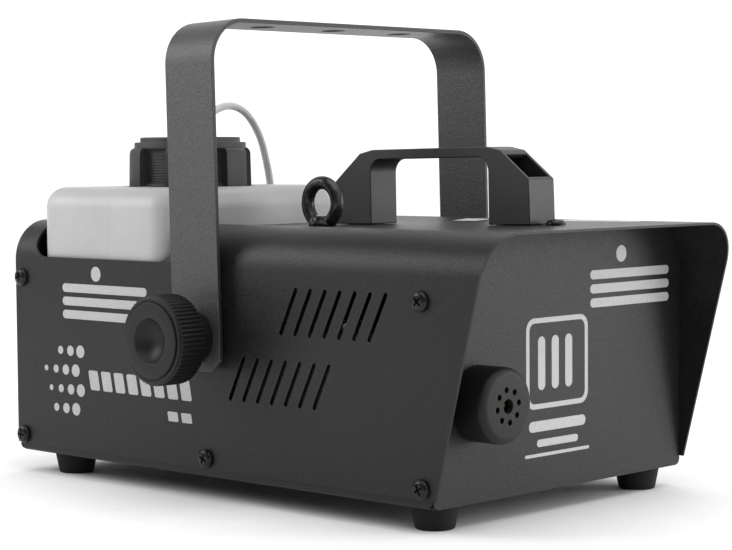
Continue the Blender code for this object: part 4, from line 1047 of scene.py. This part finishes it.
def make_cap():
    """Screw cap with six broad lobes, a stepped collar, and faint moulding rings in the gaps."""
    lobe_top, shoulder, rim = 0.0219, 0.0248, 0.0275
    foot, root, waist, collar = 0.0303, 0.0281, 0.0308, 0.0276
    corners = [
        (collar - 0.0024, rim, 0.0005), (collar, rim, 0.0008), (collar, shoulder, 0.0003),
        (waist, shoulder, 0.0008), (waist, lobe_top, 0.0003), (CAP_RADIUS - 0.0004, lobe_top, 0.0034),
        (CAP_RADIUS, 0, 0.0003), (0.0252, 0, 0), (0.0252, 0.0150, 0.0004), (0.0032, 0.0150, 0),
        (0.0032, 0.0175, 0), (collar - 0.0024, 0.0175, 0),
    ]
    start = at(TANK_X, TANK_Y, CAP_BASE)
    cap = lathe("lobed_tank_cap", corners, start, UP, 144)
    rings = []
    for k in range(10):
        low = 0.0032 + 0.0015 * k
        rings += [(root, low), (root + 0.0003, low + 0.0004), (root, low + 0.0009)]
    outer = CAP_RADIUS + 0.004
    flare = [(root + 0.0002, 0.0190), (root + 0.0009, 0.0202), (waist, lobe_top - 0.0005)]
    outline = [(foot, -0.001), (foot, 0.0012), (foot - 0.0004, 0.0019), (root + 0.0004, 0.0026)]
    outline += [*rings, *flare, (outer, lobe_top - 0.0005), (outer, -0.001)]
    gap = math.radians(31)
    for k in range(6):
        middle = math.radians(9.2 + 60 * k)
        cut(cap, ring_sector(f"lobe_gap_{k}", outline, start, middle - gap / 2, gap))
    piece(soften(cap, 0.0007, 3, 50), "tank_cap", "black_plastic", "tank_cap", look=CAP_PLASTIC)


def make_grommet():
    hole, neck, flange, lip = TUBE_RADIUS + GAP, 0.0049, 0.0072, 0.0030
    seat = case_box("tube_grommet")[1].z - lip
    corners = [
        (hole, lip, 0.0003), (0.0058, 0.0027, 0.0010), (flange, 0.0012, 0.0005), (flange, GAP, 0.0001),
        (neck, GAP, 0), (neck, -lip, 0.0003), (hole, -lip, 0),
    ]
    grommet = lathe("rubber_grommet", corners, at(*TUBE_HOLE, seat), UP, 48)
    piece(grommet, "case", "rubber", "tube_grommet")


# ---- yoke and knobs


def make_yoke():
    """Bent steel strip, built upright about the pivot and then leaned back."""
    pivot = at(0, PIVOT_Y, PIVOT_Z)
    profile = mirrored(bent_side(YOKE_HALF_WIDTH, YOKE_FOOT, PIVOT_Z + 0.03, YOKE_TOP, YOKE_BEND))
    edges_y = (PIVOT_Y - YOKE_WIDTH / 2, PIVOT_Y + YOKE_WIDTH / 2)
    yoke = drawn_out("steel_yoke", [[at(x, y, z) for x, z in profile] for y in edges_y])
    thicken(yoke, YOKE_STRIP)
    holes = [circle(x, PIVOT_Y, 0.0065) for x in (-0.052, 0.0, 0.052)]
    cut(yoke, plate("clamp_cutter", holes, 0.02, top_frame(YOKE_TOP)))
    chamfer = 0.0064
    outlines = [circle(PIVOT_Y, PIVOT_Z, 0.0042)]
    outlines += [corner_off(edge, inward, YOKE_FOOT, chamfer) for edge, inward in zip(edges_y, (1, -1))]
    cut(yoke, plate("side_cutter", outlines, 0.24, side_frame()))
    settle(soften(yoke, 0.00035, 3))
    lean = Matrix.Translation(pivot) @ Matrix.Rotation(-YOKE_LEAN, 4, "X") @ Matrix.Translation(-pivot)
    yoke.data.transform(lean)
    piece(yoke, "yoke", "yoke_paint", "yoke")
    # Painted shade: the strip's edge faces, those along Y, get the darker copy of the yoke paint.
    yoke.data.materials.append(YOKE_EDGE_SHADE)
    for polygon in yoke.data.polygons:
        polygon.material_index = int(abs(polygon.normal.y) > 0.9)


RIBS = 60
RIB_DEPTH = 0.0008


def make_knobs():
    """Clamp knobs: a dished disc that stands proud of a narrow rim, in front of a finely ribbed drum."""
    pivot = at(0, PIVOT_Y, PIVOT_Z)
    back, bore, stud_end = 0.1173, 0.0042, 0.1245
    for name, side in SIDES:
        low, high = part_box("knob_" + name)
        face, foot = max(-low.x, high.x), min(abs(low.x), abs(high.x))
        radius = (high.z - low.z) / 2
        disc, rim, step = 0.0190, 0.0214, 0.0009
        bowl, depth = 0.0114, 0.0060
        curve = (bowl**2 + depth**2) / (2 * depth)
        dish = []
        for share in (0, 0.25, 0.45, 0.62, 0.76, 0.88, 0.96):
            r = share * bowl
            dish.append((r, face - depth + curve - math.sqrt(curve**2 - r**2), 0))

        def ribs(angle, r, height):
            """Rounded ribs with narrow grooves between them, on the drum only."""
            if r < rim + 0.0001 or height > face - step:
                return 0.0
            wave = abs(math.sin(RIBS * angle / 2))
            return -RIB_DEPTH * (1 - wave) * min(1.0, (r - rim) / (radius - rim))

        corners = [
            *dish,
            (bowl, face, 0.0005), (disc, face, 0.0004), (disc, face - step - 0.0003, 0),
            (disc + 0.0006, face - step - 0.0003, 0), (disc + 0.0008, face - step, 0.0002),
            (rim, face - step, 0.0005), (rim, face - step - 0.0010, 0),
            (radius, face - step - 0.0014, 0.0005), (radius, back, 0.0012), (0.0147, back, 0),
            (0.0136, foot + 0.0030, 0.001), (0.0130, foot, 0.0003), (bore, foot, 0),
            (bore, stud_end, 0), (0, stud_end, 0),
        ]
        knob = lathe("ribbed_knob_" + name, corners, pivot, (side, 0, 0), 8 * RIBS, ribs)
        piece(knob, "knob_" + name, "black_plastic", "knob_" + name, look=KNOB_PLASTIC)
        inner, outer = case_box("spacer_" + name)
        near, far = sorted((abs(inner.x), abs(outer.x)))
        corners = [(0.0125, far, 0.0004), (0.0125, near, 0.0004), (bore, near, 0), (bore, far, 0)]
        spacer = lathe("rubber_spacer_" + name, corners, pivot, (side, 0, 0), 48)
        piece(spacer, "case", "rubber", "spacer_" + name)


# ---- rear fittings


def make_rear_fittings():
    names = ("mains_inlet", "switch_housing", "fuse_holder", "remote_socket")
    for node in names:
        piece(refined("moulded_" + node, node, 0.0003), "case", "black_plastic", node)
    for name, node in (("gloss_rocker", "switch_rocker"), ("slotted_fuse_cap", "fuse_cap")):
        piece(refined(name, node, 0.0003), node, "black_gloss", node)
    x, z = middle("mains_inlet")[::2]
    blades = (("line", -0.0070, -0.0018), ("earth", 0.0, 0.0022), ("neutral", 0.0070, -0.0018))
    for name, dx, dz in blades:
        low = (x + dx - 0.0012, CASE_LENGTH - 0.0159, z + dz - 0.0022)
        high = (x + dx + 0.0012, CASE_LENGTH - 0.0036, z + dz + 0.0022)
        piece(block("inlet_blade_" + name, low, high, 0.0004), "case", "steel")
    x, z = middle("remote_socket")[::2]
    pin_circle = 0.0036
    for k in range(5):
        angle = math.radians(-90 + 45 * (k - 2))
        u, v = x + pin_circle * math.cos(angle), z + pin_circle * math.sin(angle)
        pin = at(u, CASE_LENGTH - 0.0100, v)
        corners = [(0, 0.0080, 0), (0.0006, 0.0080, 0.0004), (0.0006, 0, 0), (0, 0, 0)]
        piece(lathe(f"remote_pin_{k}", corners, pin, (0, 1, 0), 16), "case", "brass")


# ---- prints


def bar(u, v, width, height, rounding=None, slant=0.0):
    """A bar by its lower left corner, with round corners, leaning by slant from bottom to top."""
    r = min(width, height) / 2 * 0.98 if rounding is None else rounding
    top, right = v + height, u + width
    return corner_path([(u, v, r), (right, v, r), (right + slant, top, r), (u + slant, top, r)], 6)


def stripes(u, v, width, height, count):
    """Equal plain stripes that fill a field of the given size."""
    pitch = height / (count - 0.35)
    return [bar(u, v + k * pitch, width, 0.65 * pitch) for k in range(count)]


def front_marks():
    """A rounded frame with three bars in it, two plain lines under it, and stripes at the upper right."""
    outer = bar(-0.030, 0.040, 0.048, 0.044, 0.006)
    inner = bar(-0.0275, 0.0425, 0.043, 0.039, 0.0038)
    marks = [outer, inner, *[bar(-0.021 + 0.0105 * k, 0.049, 0.0055, 0.026) for k in range(3)]]
    marks += [bar(-0.028, 0.0290, 0.044, 0.0052), bar(-0.022, 0.0215, 0.032, 0.0036)]
    marks += [bar(-0.031, 0.0168, 0.050, 0.0016)]
    marks += stripes(0.020, 0.0865, 0.066, 0.0185, 3)
    return [*marks, circle(0.0455, 0.1125, 0.0042, 48)]


def side_marks():
    """Stripes under a disc below the tank, and rows of discs and slanted blocks lower down."""
    marks = [*stripes(0.1985, 0.0755, 0.070, 0.0190, 3), circle(0.2400, 0.1003, 0.0040, 48)]
    for k in range(8):
        marks.append(bar(0.1640 + 0.0105 * k, 0.0380, 0.0078, 0.0105, 0.0012, 0.0022))
    marks += [bar(0.1640 + 0.0105 * k, 0.0265, 0.0078, 0.0050, 0.0008, 0.0010) for k in range(2)]
    for row, (z, count) in enumerate(((0.0580, 3), (0.0475, 4), (0.0370, 4), (0.0265, 3))):
        for k in range(count):
            shift = 0.0042 * (row % 2) + 0.0085 * k
            marks.append(circle(0.2540 + shift, z, 0.0034 - 0.0006 * k, 32))
    return marks


def make_prints():
    depth, lift = 0.00006, 0.00003
    front = plate("print_front", front_marks(), depth, end_frame(-lift - depth / 2))
    piece(front, "case", None, look=INK)
    for name, side in SIDES:
        placed = side_frame(side * (HALF + lift + depth / 2))
        piece(plate("print_side_" + name, side_marks(), depth, placed), "case", None, look=INK)
    patches = ((0.056, 0.105, 0.012, 0.017), (0.058, 0.004, 0.016, 0.050))
    for k, (x, y, width, length) in enumerate(patches):
        rows = []
        for j in range(7):
            back = y + length * j / 6
            across = [x + width * i / 6 for i in range(7)]
            rows.append([at(u, back, CASE_HEIGHT - sag(u, back) + 0.0001) for u in across])
        piece(thicken(drawn_out(f"print_top_{k}", rows), depth), "case", None, look=INK)


# ---- CAD nodes that stay


def paint_cad_nodes():
    """Gives every CAD node that still shows its slot's finish."""
    slots = {part["node"]: part["material_slot"] for part in frame["record"]["subparts"]}
    for node, obj in NODES.items():
        if not obj.hide_render:
            paint(obj, FINISHES[slots[node]])


# ---- stage


def make_stage():
    """A pale floor under a soft studio sky, bright to the right of the camera and dimmer to its left."""
    floor = block("floor", (-20, -20, -0.02 - PAN_Z), (20, 20, -PAN_Z))
    paint(floor, floor_paper("floor_paper"))
    world = bpy.data.worlds.new("studio")
    world.use_nodes = True
    sky = world.node_tree.nodes["Background"]
    sky.inputs["Color"].default_value = (1, 1, 1, 1)
    across = dot(world, step(world, "TexCoord").outputs["Generated"], (0.95, -0.31, 0))
    strength = spread(world, across, 0.06, 1.25, -0.65, 0.32)
    world.node_tree.links.new(strength, sky.inputs["Strength"])
    bpy.context.scene.world = world
    lamp("overhead", "SUN", (-0.15, -0.2, 1.0), 1.4).angle = math.radians(60)
    lamp("rear_left", "AREA", (-0.84, 0.88, 0.70), 8).size = 0.7
    lamp("front_left", "AREA", (-1.3, -0.5, 1.2), 0.6).size = 0.9
    lamp("front_right", "AREA", (1.1, -1.2, 0.30), 6).size = 0.6
    bpy.context.scene.view_settings.view_transform = "Standard"


def lamp(name, kind, place, energy):
    """A lamp that points at the object's middle."""
    data = bpy.data.lights.new(name, kind)
    data.energy = energy
    made = add(name, data)
    made.location = place
    made.rotation_mode = "QUATERNION"
    made.rotation_quaternion = (Vector((0, 0, 0.08)) - Vector(place)).to_track_quat("-Z", "Y")
    return data


make_camera()
make_intake_tube()
make_cover()
make_base_pan()
make_panels()
make_feet()
make_screws()
make_handle()
make_eyebolt()
make_nozzle()
make_tank()
make_cap()
make_grommet()
make_yoke()
make_knobs()
make_rear_fittings()
make_prints()
paint_cad_nodes()
make_stage()
